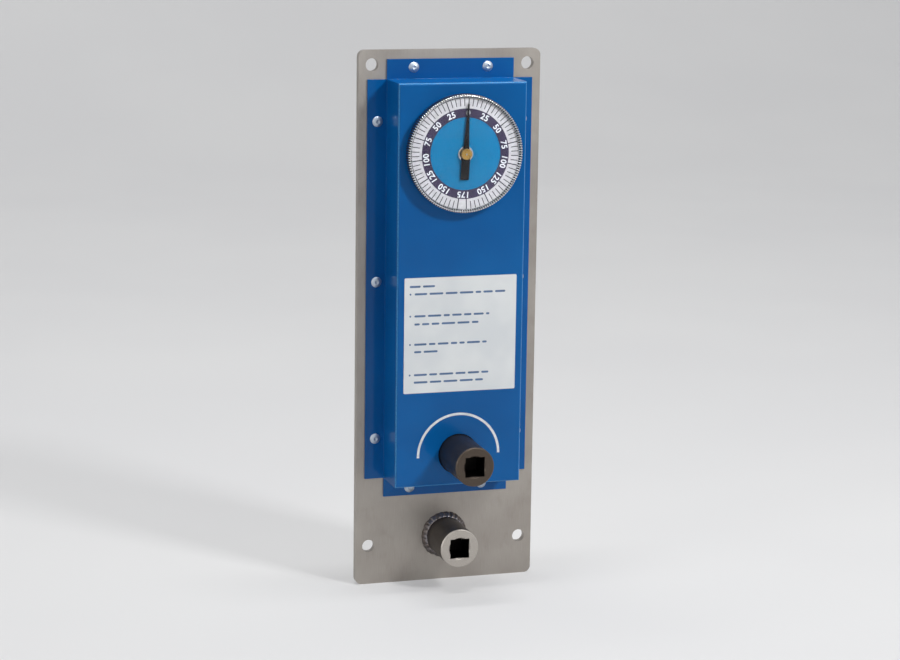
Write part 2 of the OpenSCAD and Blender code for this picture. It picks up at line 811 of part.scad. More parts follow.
module beam_hub() {
  slot_w = beam_w + 2 * fit_gap;
  color("#6f747a") facing() difference() {
    translate([0, drive_y, hub_back]) {
      cylinder(h = hub_front - hub_back, r = hub_r);
      translate([-fork_w / 2, 0, 0]) cube([fork_w, hub_high, hub_front - hub_back]);
    }
    translate([0, drive_y, hub_back - cut])
      cylinder(h = hub_front - hub_back + 2 * cut, d = (hex_af + 2 * fit_gap) / cos(30), $fn = 6);
    translate([-slot_w / 2, drive_y + slot_low, hub_back - cut])
      cube([slot_w, hub_high, hub_front - hub_back + 2 * cut]);
    at_beam_pins() translate([0, 0, -fork_w / 2 - cut])
      cylinder(h = fork_w + 2 * cut, r = beam_pin_d / 2 + fit_gap, $fn = small_fn);
    at_arm_screws() translate([0, 0, hub_front - small_bite])
      cylinder(h = small_bite + cut, r = arm_screw_d / 2 + fit_gap, $fn = small_fn);
  }
}

module flex_beam() {
  color("#54585e") facing() difference() {
    translate([-beam_w / 2, drive_y + slot_low + fit_gap, beam_back])
      cube([beam_w, beam_high - slot_low - fit_gap, beam_front - beam_back]);
    at_beam_pins() translate([0, 0, -beam_w / 2 - cut])
      cylinder(h = beam_w + 2 * cut, r = beam_pin_d / 2 + fit_gap, $fn = small_fn);
  }
}

module beam_pins() {
  color("#c8c8cc") facing() at_beam_pins() translate([0, 0, -fork_w / 2])
    cylinder(h = fork_w, r = beam_pin_d / 2, $fn = small_fn);
}

module arm_outline() {
  translate([0, drive_y]) circle(hub_r);
  polygon([
    [-arm_low_w / 2, drive_y], [arm_low_w / 2, drive_y],
    [arm_high_w / 2, head_low - head_neck], [head_w / 2, head_low], [head_w / 2, head_high],
    [-head_w / 2, head_high], [-head_w / 2, head_low], [-arm_high_w / 2, head_low - head_neck],
  ]);
}

module indicator_arm() {
  hole_shares = [0.32, 0.5, 0.68];
  color("#b9bcc0") facing() difference() {
    translate([0, 0, arm_back]) linear_extrude(arm_t) difference() {
      arm_outline();
      translate([-window_w / 2, window_low]) square([window_w, window_high - window_low]);
      translate([0, drive_y]) circle(hex_af / 2 / cos(30) + 2 * fit_gap);
      for (share = hole_shares)
        translate([0, drive_y + share * axis_span]) circle(arm_high_w / 4);
    }
    at_arm_screws() translate([0, 0, arm_front]) mirror([0, 0, 1]) flat_screw_hole(arm_screw_d, arm_t + cut);
    at_sector_screws() translate([0, 0, arm_front]) mirror([0, 0, 1])
      flat_screw_hole(small_screw_d, arm_t + cut);
  }
}

module arm_screws() {
  color("#c8c8cc") facing() at_arm_screws() translate([0, 0, arm_front]) mirror([0, 0, 1])
    flat_screw(arm_screw_d, arm_t + small_bite - back_gap);
}

// Toothed sector on the arm's back, with its teeth towards the drive axis
module at_sector_screws() {
  for (s = [-1, 1])
    translate([s * window_w / 4, (window_high + head_high) / 2]) children();
}

function sector_point(i, r, half_w) =
  [r * sin(i * tooth_step) + half_w * cos(i * tooth_step),
   drive_y + r * cos(i * tooth_step) - half_w * sin(i * tooth_step)];

function sector_tooth(i) =
  let (tip = tooth_w / 2 - sector_tip_share * tooth_unit * tan(pressure_angle),
       root = tooth_w / 2 + sector_root_share * tooth_unit * tan(pressure_angle))
  [
    sector_point(i, sector_root_r, -root), sector_point(i, sector_tip_r, -tip),
    sector_point(i, sector_tip_r, tip), sector_point(i, sector_root_r, root),
  ];

module sector() {
  n = sector_half_count;
  side_x = sector_root_r * sin((n + 0.6) * tooth_step);
  outline = concat(
    [for (i = [-n:n]) each sector_tooth(i)],
    [[side_x, drive_y + sector_root_r], [side_x, sector_high],
     [-side_x, sector_high], [-side_x, drive_y + sector_root_r]]
  );
  color("#c9a24a") facing() difference() {
    translate([0, 0, sector_back]) linear_extrude(sector_t) polygon(outline);
    at_sector_screws() translate([0, 0, sector_back - cut])
      cylinder(h = sector_t + 2 * cut, r = small_screw_d / 2 + fit_gap, $fn = small_fn);
  }
}

module sector_screws() {
  color("#c8c8cc") facing() at_sector_screws() translate([0, 0, arm_front]) mirror([0, 0, 1])
    flat_screw(small_screw_d, arm_t + sector_t);
}

// Pointer shaft and what turns with it
module pointer_shaft() {
  color("#8f949a") facing() translate([0, dial_y, base_back])
    cylinder(h = hub_cap_front - shaft_inset - base_back, r = shaft_d / 2, $fn = small_fn);
}

// Point of an involute flank at radius r, turned so that the tooth stands on the x axis
function involute(a) = tan(a) * 180 / PI - a;
function flank_angle(r) =
  let (base_r = pinion_pitch_r * cos(pressure_angle),
       half = tooth_w / 2 / pinion_pitch_r * 180 / PI + involute(pressure_angle))
  half - involute(acos(min(1, base_r / max(r, base_r))));

function pinion_tooth(at) =
  let (steps = 5, step = (pinion_tip_r - pinion_root_r) / steps,
       radii = [for (k = [0:steps]) pinion_root_r + k * step])
  concat(
    [for (k = [0:steps]) radii[k] * [cos(at - flank_angle(radii[k])), sin(at - flank_angle(radii[k]))]],
    [for (k = [steps:-1:0]) radii[k] * [cos(at + flank_angle(radii[k])), sin(at + flank_angle(radii[k]))]]
  );

module pinion() {
  step = 360 / pinion_teeth;
  outline = [for (i = [0:pinion_teeth - 1]) each pinion_tooth(90 + (i + 0.5) * step)];
  color("#d9b458") facing() translate([0, dial_y, pinion_back]) difference() {
    linear_extrude(pinion_front - pinion_back) polygon(outline);
    translate([0, 0, -cut])
      cylinder(h = pinion_front - pinion_back + 2 * cut, r = shaft_d / 2 + fit_gap, $fn = small_fn);
  }
}

module hairspring_collet() {
  color("#d9b458") facing() translate([0, dial_y, collet_back])
    ring(collet_r, shaft_d / 2 + fit_gap, collet_h, small_fn);
}

module pointer() {
  tip_w = 0.9;
  color("#141416") facing() translate([0, dial_y, pointer_back]) rotate(-pointer_rest)
    linear_extrude(pointer_t) difference() {
      union() {
        polygon([
          [-pointer_w / 2, 0], [pointer_w / 2, 0], [tip_w / 2, pointer_len - tip_w],
          [0, pointer_len], [-tip_w / 2, pointer_len - tip_w],
        ]);
        translate([-tail_w / 2, -tail_len]) square([tail_w, tail_len]);
        circle(hub_cap_d / 2 - hub_cap_over);
      }
      circle(sleeve_r + fit_gap, $fn = small_fn);
    }
}

module pointer_hub() {
  sleeve_over = 0.5;
  sleeve_back = pointer_back - sleeve_over;
  bore_front = hub_cap_front - shaft_inset + fit_gap;
  dot_r = 0.6;
  color("#c99a4a") facing() translate([0, dial_y, 0]) difference() {
    union() {
      translate([0, 0, pointer_front]) cylinder(h = hub_cap_front - pointer_front, r = hub_cap_d / 2);
      translate([0, 0, sleeve_back]) cylinder(h = pointer_front - sleeve_back, r = sleeve_r, $fn = small_fn);
    }
    translate([0, 0, sleeve_back - cut])
      cylinder(h = bore_front - sleeve_back + cut, r = shaft_d / 2 + fit_gap, $fn = small_fn);
    translate([0, 0, hub_cap_front - cut]) cylinder(h = 2 * cut, r = dot_r, $fn = small_fn);
  }
}

// Zeroing bezel with its crystal and face
module knurl_outline() {
  step = 360 / knurl_count;
  polygon([
    for (i = [0:knurl_count - 1]) each [
      bezel_r * [cos(i * step), sin(i * step)],
      (bezel_r - knurl_deep) * [cos((i + 0.5) * step), sin((i + 0.5) * step)],
    ]
  ]);
}

module bezel() {
  void = [
    [0, bezel_back - cut], [bezel_bore_r, bezel_back - cut],
    [bezel_bore_r, snap_z - snap_groove], [bezel_bore_r + snap_groove, snap_z - snap_groove],
    [bezel_bore_r + snap_groove, snap_z + snap_groove], [bezel_bore_r, snap_z + snap_groove],
    [bezel_bore_r, ledge_back], [bezel_bore_r - ledge_w, ledge_back],
    [bezel_bore_r - ledge_w, face_back], [face_r + fit_gap, face_back],
    [face_r + fit_gap, face_front + rebate_slope], [rebate_r - rebate_slope, bezel_front - rebate_deep],
    [rebate_r, bezel_front - rebate_deep], [rebate_r, bezel_front + cut], [0, bezel_front + cut],
  ];
  color("#c4c6ca") facing() translate([0, dial_y, 0]) difference() {
    translate([0, 0, bezel_back]) linear_extrude(bezel_front - bezel_back) knurl_outline();
    rotate_extrude($fn = large_fn) polygon(void);
  }
}

module crystal() {
  edge_r = rebate_r - fit_gap;
  edge_back = bezel_front - rebate_deep;
  edge_front = bezel_front + rebate_deep;
  dome_r = (edge_r * edge_r + dome_rise * dome_rise) / (2 * dome_rise);
  dome_z = edge_front + dome_rise - dome_r;
  color([0.85, 0.93, 0.97, 0.35]) facing() translate([0, dial_y, 0])
    rotate_extrude($fn = large_fn) difference() {
      intersection() {
        translate([0, dome_z]) circle(dome_r, $fn = 720);
        translate([0, edge_back]) square([edge_r, dome_rise + 2 * crystal_t]);
      }
      intersection() {
        translate([0, dome_z]) circle(dome_r - crystal_t, $fn = 720);
        translate([0, edge_back - cut]) square([edge_r - crystal_t / 2, dome_rise + 2 * crystal_t]);
      }
    }
}

module dial_face() {
  color("#2a86b8") facing() translate([0, dial_y, face_back])
    ring(face_r, eyelet_d / 2 - eyelet_rim + 2 * fit_gap + eyelet_t, face_t, large_fn);
}

module dial_eyelet() {
  in_r = eyelet_d / 2 - eyelet_rim;
  color("#e4e6e8") facing() translate([0, dial_y, face_back]) {
    ring(in_r + eyelet_t, in_r, face_t);
    translate([0, 0, face_t]) ring(eyelet_d / 2, in_r, eyelet_t);
  }
}

back_plate();
exercise_socket();
exercise_weld();
cover();
cover_screws();
instruction_panel();
bearing_bridge();
bridge_screws();
front_bushing();
rear_bushing();
thrust_washer();
reaction_posts();
post_screws();
calibration_screws();
lock_nuts();
movement_standoffs();
movement_base();
movement_pillars();
movement_bridge();
standoff_screws();
movement_screws();
rear_pivot_bushing();
front_pivot_bushing();
hairspring_stud();
hairspring();
dial_housing();
housing_screws();
bezel_snap_ring();
drive_socket();
beam_hub();
flex_beam();
beam_pins();
indicator_arm();
arm_screws();
sector();
sector_screws();
pointer_shaft();
pinion();
hairspring_collet();
pointer();
pointer_hub();
bezel();
crystal();
dial_face();
dial_eyelet();
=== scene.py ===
"""The looks of the torque tester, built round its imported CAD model.

Everything is in metres in the CAD frame: X to the right, -Y out of the front, Z up.
"""

import math
import random

import bmesh
import bpy
from mathutils import Matrix, Vector


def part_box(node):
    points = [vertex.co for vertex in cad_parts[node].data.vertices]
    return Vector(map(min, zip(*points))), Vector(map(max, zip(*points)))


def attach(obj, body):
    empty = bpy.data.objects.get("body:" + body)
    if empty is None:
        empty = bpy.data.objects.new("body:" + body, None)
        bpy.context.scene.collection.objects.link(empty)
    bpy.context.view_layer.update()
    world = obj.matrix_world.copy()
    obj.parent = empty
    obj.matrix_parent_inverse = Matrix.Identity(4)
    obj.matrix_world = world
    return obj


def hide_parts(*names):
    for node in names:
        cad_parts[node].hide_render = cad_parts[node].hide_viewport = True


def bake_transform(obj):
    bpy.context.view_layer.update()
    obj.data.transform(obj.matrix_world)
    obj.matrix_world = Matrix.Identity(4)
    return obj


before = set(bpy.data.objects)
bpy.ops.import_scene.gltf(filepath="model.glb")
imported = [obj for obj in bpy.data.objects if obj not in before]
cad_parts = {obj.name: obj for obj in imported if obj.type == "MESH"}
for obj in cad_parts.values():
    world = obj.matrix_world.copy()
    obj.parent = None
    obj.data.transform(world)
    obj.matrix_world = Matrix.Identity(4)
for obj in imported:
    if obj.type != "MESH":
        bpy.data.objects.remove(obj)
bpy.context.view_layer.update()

MM = 0.001
TAU = 2 * math.pi


# Places, read from the CAD nodes
def centre(node):
    low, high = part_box(node)
    return (low + high) / 2


def round_r(node):
    """The radius of a node that is round about the Y axis."""
    low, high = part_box(node)
    return (high.x - low.x) / 2


PLATE_LOW, PLATE_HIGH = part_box("back_plate")
PLATE_FRONT = PLATE_LOW.y
DRIVE = centre("drive_socket")
DRIVE_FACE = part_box("drive_socket")[0].y
EXERCISE = centre("exercise_socket")
EXERCISE_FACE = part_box("exercise_socket")[0].y
SOCKET_R = round_r("exercise_socket")
DIAL = centre("bezel")
BEZEL_LOW, BEZEL_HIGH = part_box("bezel")
BEZEL_R = round_r("bezel")
PANEL_LOW, PANEL_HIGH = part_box("instruction_panel")
COVER_FRONT = PANEL_HIGH.y
FACE_LOW, FACE_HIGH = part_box("dial_face")
FACE_FRONT = FACE_LOW.y
FACE_R = round_r("dial_face")
CRYSTAL_LOW, CRYSTAL_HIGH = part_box("crystal")
CRYSTAL_R = round_r("crystal")

PRINT_T = 0.03 * MM  # the thickness of every printed mark
MERGE_DIST = 1e-7  # vertices closer than this are one


# Mesh pieces
def mesh_object(name, verts, faces, materials, smooth_angle=40, second=None):
    """A mesh object with outward normals and smooth shading across its shallow edges.

    Faces for which second is true, by their number, take the second material.
    """
    mesh = bpy.data.meshes.new(name)
    mesh.from_pydata(verts, [], faces)
    if second:
        for polygon in mesh.polygons:
            polygon.material_index = 1 if second(polygon.index) else 0
    obj = bpy.data.objects.new(name, mesh)
    bpy.context.scene.collection.objects.link(obj)
    for material in materials:
        mesh.materials.append(material)
    finish_mesh(mesh, smooth_angle)
    return obj


def finish_mesh(mesh, smooth_angle):
    bm = bmesh.new()
    bm.from_mesh(mesh)
    bmesh.ops.remove_doubles(bm, verts=bm.verts, dist=MERGE_DIST)
    bmesh.ops.recalc_face_normals(bm, faces=bm.faces)
    for face in bm.faces:
        face.smooth = True
    for edge in bm.edges:
        if edge.is_boundary or edge.calc_face_angle(0) > math.radians(smooth_angle):
            edge.smooth = False
    bm.to_mesh(mesh)
    bm.free()


def grid_faces(rows, count, rows_close=True, count_closes=True):
    """Quads between neighbouring rows of count vertices each.

    The last row can join the first one, and each row's last vertex its first one.
    """
    faces = []
    for i in range(rows if rows_close else rows - 1):
        a, b = i * count, (i + 1) % rows * count
        for k in range(count if count_closes else count - 1):
            nxt = (k + 1) % count
            faces.append((a + k, a + nxt, b + nxt, b + k))
    return faces


def end_caps(rows, count):
    """One face over the first row of count vertices and one over the last row."""
    return [tuple(range(count)), tuple(range((rows - 1) * count, rows * count))]


def add_shape(verts, faces, more_verts, more_faces):
    """Adds one more shape to lists of vertices and faces."""
    offset = len(verts)
    verts += more_verts
    faces += [tuple(offset + i for i in face) for face in more_faces]


def polar(centre_at, r, angle, y):
    """A point at radius r and at an angle clockwise from the top, seen from the front."""
    return (centre_at.x + r * math.sin(angle), y, centre_at.z + r * math.cos(angle))


def ring_slab(name, centre_at, r_in, r_out, front, thick, material,
              steps=180, start=0.0, sweep=TAU):
    """A flat ring, or a part of one, whose front edges are rounded off a little."""
    full = sweep == TAU
    edge = min(thick, r_out - r_in) / 4
    profile = [
        (r_in, front + thick), (r_in, front + edge), (r_in + edge, front),
        (r_out - edge, front), (r_out, front + edge), (r_out, front + thick),
    ]
    rows = steps if full else steps + 1
    angles = [start + sweep * i / steps for i in range(rows)]
    verts = [polar(centre_at, r, angle, y) for angle in angles for r, y in profile]
    faces = grid_faces(rows, len(profile), rows_close=full)
    if not full:
        faces += end_caps(rows, len(profile))
    return mesh_object(name, verts, faces, [material])


def place(obj, body, slot, *replaced):
    """Rides the piece on a CAD body and hides the nodes that it stands for. Its slot is not used.
    """
    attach(obj, body)
    if replaced:
        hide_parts(*replaced)


# Shader nodes
def math_node(tree, operation, a, b):
    """The output of a maths node. Each value is a number or a node's output."""
    node = tree.nodes.new("ShaderNodeMath")
    node.operation = operation
    for socket, value in zip(node.inputs, (a, b)):
        if isinstance(value, (int, float)):
            socket.default_value = value
        else:
            tree.links.new(value, socket)
    return node.outputs["Value"]


def mix_shaders(tree, share, first, second, target):
    """Gives target the first shader where share is 0 and the second where it is 1."""
    mix = tree.nodes.new("ShaderNodeMixShader")
    for socket, output in zip(mix.inputs, (share, first, second)):
        tree.links.new(output, socket)
    tree.links.new(mix.outputs["Shader"], target)


def seen_directly(tree):
    """1 for what the camera sees, also in a shiny surface or through glass, and 0 otherwise."""
    path = tree.nodes.new("ShaderNodeLightPath").outputs
    seen = math_node(tree, "MAXIMUM", path["Is Camera Ray"], path["Is Glossy Ray"])
    return math_node(tree, "MAXIMUM", seen, path["Is Transmission Ray"])


def srgb(colour):
    """A linear colour from 0 to 255 display values."""
    linear = []
    for value in colour:
        share = value / 255
        linear.append(share / 12.92 if share <= 0.04045 else ((share + 0.055) / 1.055) ** 2.4)
    return (*linear, 1.0)


def shade(colour, factor):
    return tuple(min(255, value * factor) for value in colour)


class Surface:
    """A Principled material with short calls for the nodes that drive it."""

    def __init__(self, name, colour, rough, metal=0.0, **sockets):
        self.material = bpy.data.materials.new(name)
        self.material.use_nodes = True
        self.tree = self.material.node_tree
        self.shader = self.tree.nodes["Principled BSDF"]
        self.shader.inputs["Base Color"].default_value = srgb(colour)
        self.shader.inputs["Roughness"].default_value = rough
        self.shader.inputs["Metallic"].default_value = metal
        for socket, value in sockets.items():
            self.shader.inputs[socket.replace("_", " ")].default_value = value
        self.coordinates = self.tree.nodes.new("ShaderNodeTexCoord").outputs["Object"]
        self.last_normal = None

    def link(self, output, target):
        self.tree.links.new(output, target)

    def noise(self, size, stretch=(1, 1, 1), detail=4.0, rough=0.5):
        """Noise whose features are about size metres across, longer along a stretched axis."""
        mapping = self.tree.nodes.new("ShaderNodeMapping")
        mapping.inputs["Scale"].default_value = [1 / (size * s) for s in stretch]
        self.link(self.coordinates, mapping.inputs["Vector"])
        noise = self.tree.nodes.new("ShaderNodeTexNoise")
        noise.inputs["Scale"].default_value = 1.0
        noise.inputs["Detail"].default_value = detail
        noise.inputs["Roughness"].default_value = rough
        self.link(mapping.outputs["Vector"], noise.inputs["Vector"])
        return noise.outputs["Fac"]

    def rings(self, centre_at, size, wobble):
        """Fine turned rings about the Y axis through a centre, one ring every size metres."""
        shift = self.tree.nodes.new("ShaderNodeMapping")
        shift.inputs["Location"].default_value = [-centre_at.x / size, 0, -centre_at.z / size]
        shift.inputs["Scale"].default_value = [1 / size, 0, 1 / size]
        self.link(self.coordinates, shift.inputs["Vector"])
        wave = self.tree.nodes.new("ShaderNodeTexWave")
        wave.wave_type = "RINGS"
        wave.rings_direction = "SPHERICAL"
        wave.inputs["Scale"].default_value = 0.5
        wave.inputs["Distortion"].default_value = wobble
        self.link(shift.outputs["Vector"], wave.inputs["Vector"])
        return wave.outputs["Fac"]

    def place_along(self, axis):
        """A surface point's coordinate along an axis of the object."""
        split = self.tree.nodes.new("ShaderNodeSeparateXYZ")
        self.link(self.coordinates, split.inputs["Vector"])
        return split.outputs[axis]

    def behind(self, front, depths):
        """0 at the first of two depths behind a front and 1 at the second, smooth between them."""
        start, end = depths
        return self.remap(self.place_along("Y"), front + start, front + end)

    def from_axis(self, centre_at, radii):
        """0 at the first of two radii and 1 at the second, about the Y axis through a centre."""
        across = self.combine("SUBTRACT", self.place_along("X"), centre_at.x)
        upward = self.combine("SUBTRACT", self.place_along("Z"), centre_at.z)
        squares = self.combine(
            "ADD",
            self.combine("MULTIPLY", across, across),
            self.combine("MULTIPLY", upward, upward),
        )
        return self.remap(self.combine("SQRT", squares, 0.0), *radii)

    def remap(self, pattern, start, end, low=0.0, high=1.0):
        """A value that goes smoothly from low to high as a pattern goes from start to end."""
        node = self.tree.nodes.new("ShaderNodeMapRange")
        node.interpolation_type = "SMOOTHSTEP"
        names = ("From Min", "From Max", "To Min", "To Max")
        for name, number in zip(names, (start, end, low, high)):
            node.inputs[name].default_value = number
        self.link(pattern, node.inputs["Value"])
        return node.outputs["Result"]

    def blend(self, share, low, high):
        """A colour that goes from low to high with share. Either may be a node's output."""
        node = self.tree.nodes.new("ShaderNodeMix")
        node.data_type = "RGBA"
        self.link(share, node.inputs["Factor"])
        inputs = [socket for socket in node.inputs if socket.type == "RGBA"]
        for socket, colour in zip(inputs, (low, high)):
            if isinstance(colour, tuple):
                socket.default_value = srgb(colour)
            else:
                self.link(colour, socket)
        return next(socket for socket in node.outputs if socket.type == "RGBA")

    def vary(self, pattern, start, end, low, high):
        """A colour that goes from low to high as a pattern goes from start to end."""
        return self.blend(self.remap(pattern, start, end), low, high)

    def tint(self, tone, colour, pattern, start, end, most):
        """Lays a colour on tone, from nothing at a pattern's start to the share most at its end."""
        return self.blend(self.remap(pattern, start, end, 0.0, most), tone, colour)

    def combine(self, operation, a, b):
        return math_node(self.tree, operation, a, b)

    def colour(self, output):
        self.link(output, self.shader.inputs["Base Color"])

    def rough(self, pattern, start, end, low, high):
        """Roughness that goes from low to high as a pattern goes from start to end."""
        self.link(self.remap(pattern, start, end, low, high), self.shader.inputs["Roughness"])

    def bump(self, height, depth, strength):
        """Relief of the given depth in metres, on top of what was there before."""
        node = self.tree.nodes.new("ShaderNodeBump")
        node.inputs["Strength"].default_value = strength
        node.inputs["Distance"].default_value = depth
        self.link(height, node.inputs["Height"])
        if self.last_normal:
            self.link(self.last_normal, node.inputs["Normal"])
        self.last_normal = node.outputs["Normal"]
        self.link(self.last_normal, self.shader.inputs["Normal"])


# Materials. Masks go from 0 to 1 over these depths and radii.
BEND_STARTS = (0.1 * MM, 0.35 * MM)  # behind the cover's front, on the bends where a highlight is painted
BEND_ENDS = (1.3 * MM, 0.9 * MM)
SOCKET_FRONT = (0.9 * MM, 0.6 * MM)  # behind a socket's face
SQUARE_R = (9.4 * MM, 9.0 * MM)
SQUARE_STARTS = (0.7 * MM, 2.2 * MM)
SQUARE_ENDS = (24 * MM, 22 * MM)
HEAT_REACH = (-12 * MM, -4 * MM)  # in front of the plate


def plate_steel():
    s = Surface("plate_steel", (164, 157, 150), 0.42, 1.0)
    clouds = s.noise(45 * MM, detail=3)
    stains = s.noise(9 * MM, stretch=(1, 1, 1.6), detail=5, rough=0.6)
    grain = s.noise(0.25 * MM, stretch=(1, 1, 40), detail=3)
    tone = s.vary(clouds, 0.3, 0.7, (158, 151, 144), (171, 165, 158))
    tone = s.tint(tone, (140, 131, 122), stains, 0.5, 0.75, 0.25)
    s.colour(s.tint(tone, (190, 185, 179), grain, 0.3, 0.7, 0.2))
    s.rough(s.combine("ADD", stains, clouds), 0.7, 1.3, 0.42, 0.5)
    s.bump(grain, 0.006 * MM, 0.6)
    s.bump(stains, 0.03 * MM, 0.12)
    return s.material


def front_bends(s):
    """1 on the bends between the cover's front and its walls, where a highlight is painted, and 0
    on its flats.
    """
    past_front = s.behind(COVER_FRONT, BEND_STARTS)
    before_wall = s.behind(COVER_FRONT, BEND_ENDS)
    return s.combine("MULTIPLY", past_front, before_wall)


def blue_paint():
    s = Surface(
        "blue_paint", (0, 90, 158), 0.34,
        Coat_Weight=0.35, Coat_Roughness=0.09, Specular_IOR_Level=0.06,
    )
    peel = s.noise(0.9 * MM, detail=2)
    cloud = s.noise(60 * MM, detail=2)
    dust = s.noise(0.35 * MM, detail=3)
    tone = s.vary(cloud, 0.3, 0.7, (0, 88, 156), (0, 97, 167))
    tone = s.tint(tone, (40, 125, 190), dust, 0.62, 0.8, 0.08)
    # Painted highlight: the bends between the front and the walls are lighter blue, more so in
    # patches of the peel noise.
    painted_bend_highlight = s.combine("MULTIPLY", front_bends(s), s.remap(peel, 0.3, 0.6, 0.35, 0.75))
    s.colour(s.blend(painted_bend_highlight, tone, (72, 152, 208)))
    s.rough(dust, 0.35, 0.65, 0.3, 0.4)
    s.bump(peel, 0.02 * MM, 0.5)
    return s.material


def socket_square(s, centre_at, face_y):
    """1 on the inner walls of a female square, which are painted dark as shade, and 0 outside."""
    past_lip = s.behind(face_y, SQUARE_STARTS)
    before_end = s.behind(face_y, SQUARE_ENDS)
    inside = s.combine("MULTIPLY", past_lip, before_end)
    return s.combine("MULTIPLY", s.from_axis(centre_at, SQUARE_R), inside)


def drive_oxide():
    s = Surface("dark_oxide", (84, 72, 62), 0.4, 0.85)
    speck = s.noise(0.7 * MM, detail=5, rough=0.65)
    cloud = s.noise(6 * MM, detail=3)
    turned = s.rings(DRIVE, 0.22 * MM, 0.6)
    skirt = s.noise(0.2 * MM, stretch=(60, 1, 60), detail=2)
    side = s.vary(cloud, 0.35, 0.65, (62, 55, 51), (71, 63, 58))
    face = s.vary(turned, 0.2, 0.8, (76, 67, 60), (92, 82, 73))
    tone = s.blend(s.behind(DRIVE_FACE, SOCKET_FRONT), side, face)
    tone = s.tint(tone, (124, 107, 93), speck, 0.6, 0.78, 0.25)
    # Painted shade: the inner walls of the square are near black.
    s.colour(s.blend(socket_square(s, DRIVE, DRIVE_FACE), tone, (24, 21, 19)))
    s.rough(s.combine("ADD", speck, cloud), 0.7, 1.3, 0.36, 0.44)
    s.bump(skirt, 0.01 * MM, 0.5)
    s.bump(speck, 0.02 * MM, 0.4)
    return s.material


def bare_socket():
    s = Surface("bare_socket", (150, 142, 134), 0.36, 1.0)
    speck = s.noise(0.6 * MM, detail=5, rough=0.65)
    cloud = s.noise(5 * MM, detail=3)
    turned = s.rings(EXERCISE, 0.3 * MM, 0.8)
    skirt = s.noise(0.2 * MM, stretch=(60, 1, 60), detail=2)
    side = s.vary(cloud, 0.35, 0.65, (84, 78, 75), (96, 90, 85))
    side = s.blend(s.behind(PLATE_FRONT, HEAT_REACH), side, (62, 57, 58))
    face = s.vary(turned, 0.2, 0.8, (166, 159, 151), (194, 188, 181))
    tone = s.blend(s.behind(EXERCISE_FACE, SOCKET_FRONT), side, face)
    tone = s.tint(tone, (112, 100, 92), speck, 0.6, 0.8, 0.25)
    # Painted shade: the inner walls of the square are near black.
    s.colour(s.blend(socket_square(s, EXERCISE, EXERCISE_FACE), tone, (26, 23, 22)))
    s.rough(s.combine("ADD", speck, cloud), 0.7, 1.3, 0.36, 0.46)
    s.bump(skirt, 0.01 * MM, 0.5)
    s.bump(speck, 0.02 * MM, 0.35)
    return s.material


def weld_steel():
    s = Surface("weld_steel", (112, 104, 100), 0.46, 1.0)
    temper = s.noise(4 * MM, detail=3)
    scale = s.noise(0.8 * MM, detail=5, rough=0.7)
    tone = s.vary(temper, 0.35, 0.65, (108, 99, 93), (132, 128, 130))
    s.colour(s.tint(tone, (60, 52, 49), scale, 0.56, 0.7, 0.8))
    s.rough(scale, 0.4, 0.7, 0.4, 0.62)
    s.bump(scale, 0.12 * MM, 0.5)
    return s.material


def bright_screw():
    s = Surface("bright_screw", (184, 193, 203), 0.52, 1.0)
    scuff = s.noise(0.5 * MM, detail=4, rough=0.6)
    cloud = s.noise(2.5 * MM, detail=2)
    tone = s.vary(cloud, 0.35, 0.65, (176, 186, 198), (192, 200, 210))
    s.colour(s.tint(tone, (156, 166, 178), scuff, 0.6, 0.8, 0.4))
    s.rough(scuff, 0.3, 0.7, 0.46, 0.58)
    s.bump(scuff, 0.01 * MM, 0.5)
    return s.material


def white_panel():
    s = Surface("white_panel", (226, 230, 232), 0.45)
    film = s.noise(0.4 * MM, detail=4)
    cloud = s.noise(25 * MM, detail=2)
    tone = s.vary(cloud, 0.3, 0.7, (222, 226, 229), (232, 235, 236))
    s.colour(s.tint(tone, (206, 211, 216), film, 0.55, 0.8, 0.2))
    s.rough(film, 0.3, 0.7, 0.4, 0.52)
    s.bump(film, 0.006 * MM, 0.5)
    return s.material


def print_ink(name, colour, rough=0.5):
    """Screen-printed ink: a matt colour with fine speckle and a slightly uneven film."""
    s = Surface(name, colour, rough, Specular_IOR_Level=0.2)
    speckle = s.noise(0.15 * MM, detail=3)
    film = s.noise(3 * MM, detail=2)
    tone = s.vary(film, 0.3, 0.7, shade(colour, 0.96), shade(colour, 1.03))
    s.colour(s.tint(tone, shade(colour, 0.88), speckle, 0.5, 0.8, 0.25))
    s.rough(speckle, 0.3, 0.7, rough - 0.06, rough + 0.06)
    s.bump(speckle, 0.004 * MM, 0.5)
    return s.material


def turned_metal(name, colour, centre_at, rough, ring=0.12 * MM):
    """Metal with fine turned rings about an axis and a light oil film."""
    s = Surface(name, colour, rough, 1.0)
    rings = s.rings(centre_at, ring, 0.4)
    film = s.noise(1.6 * MM, detail=3)
    tone = s.vary(rings, 0.2, 0.8, shade(colour, 0.92), shade(colour, 1.05))
    s.colour(s.tint(tone, shade(colour, 0.82), film, 0.5, 0.75, 0.4))
    s.rough(film, 0.3, 0.7, rough - 0.06, rough + 0.08)
    s.bump(rings, 0.004 * MM, 0.6)
    return s.material


def ground_metal(name, colour, rough, stretch=(1, 1, 30), dark=0.8):
    """Milled or ground metal with a straight grain and faint darker patches."""
    s = Surface(name, colour, rough, 1.0)
    grain = s.noise(0.2 * MM, stretch=stretch, detail=3)
    patch = s.noise(7 * MM, detail=4)
    tone = s.vary(grain, 0.3, 0.7, shade(colour, 0.93), shade(colour, 1.05))
    s.colour(s.tint(tone, shade(colour, dark), patch, 0.5, 0.75, 0.6))
    s.rough(patch, 0.3, 0.7, rough - 0.07, rough + 0.08)
    s.bump(grain, 0.005 * MM, 0.6)
    return s.material


def housing_black():
    s = Surface("housing_black", (40, 43, 50), 0.45)
    leather = s.noise(0.5 * MM, detail=3)
    cloud = s.noise(10 * MM, detail=2)
    s.colour(s.vary(cloud, 0.3, 0.7, (34, 37, 43), (48, 51, 58)))
    s.rough(leather, 0.3, 0.7, 0.38, 0.52)
    s.bump(leather, 0.02 * MM, 0.5)
    return s.material


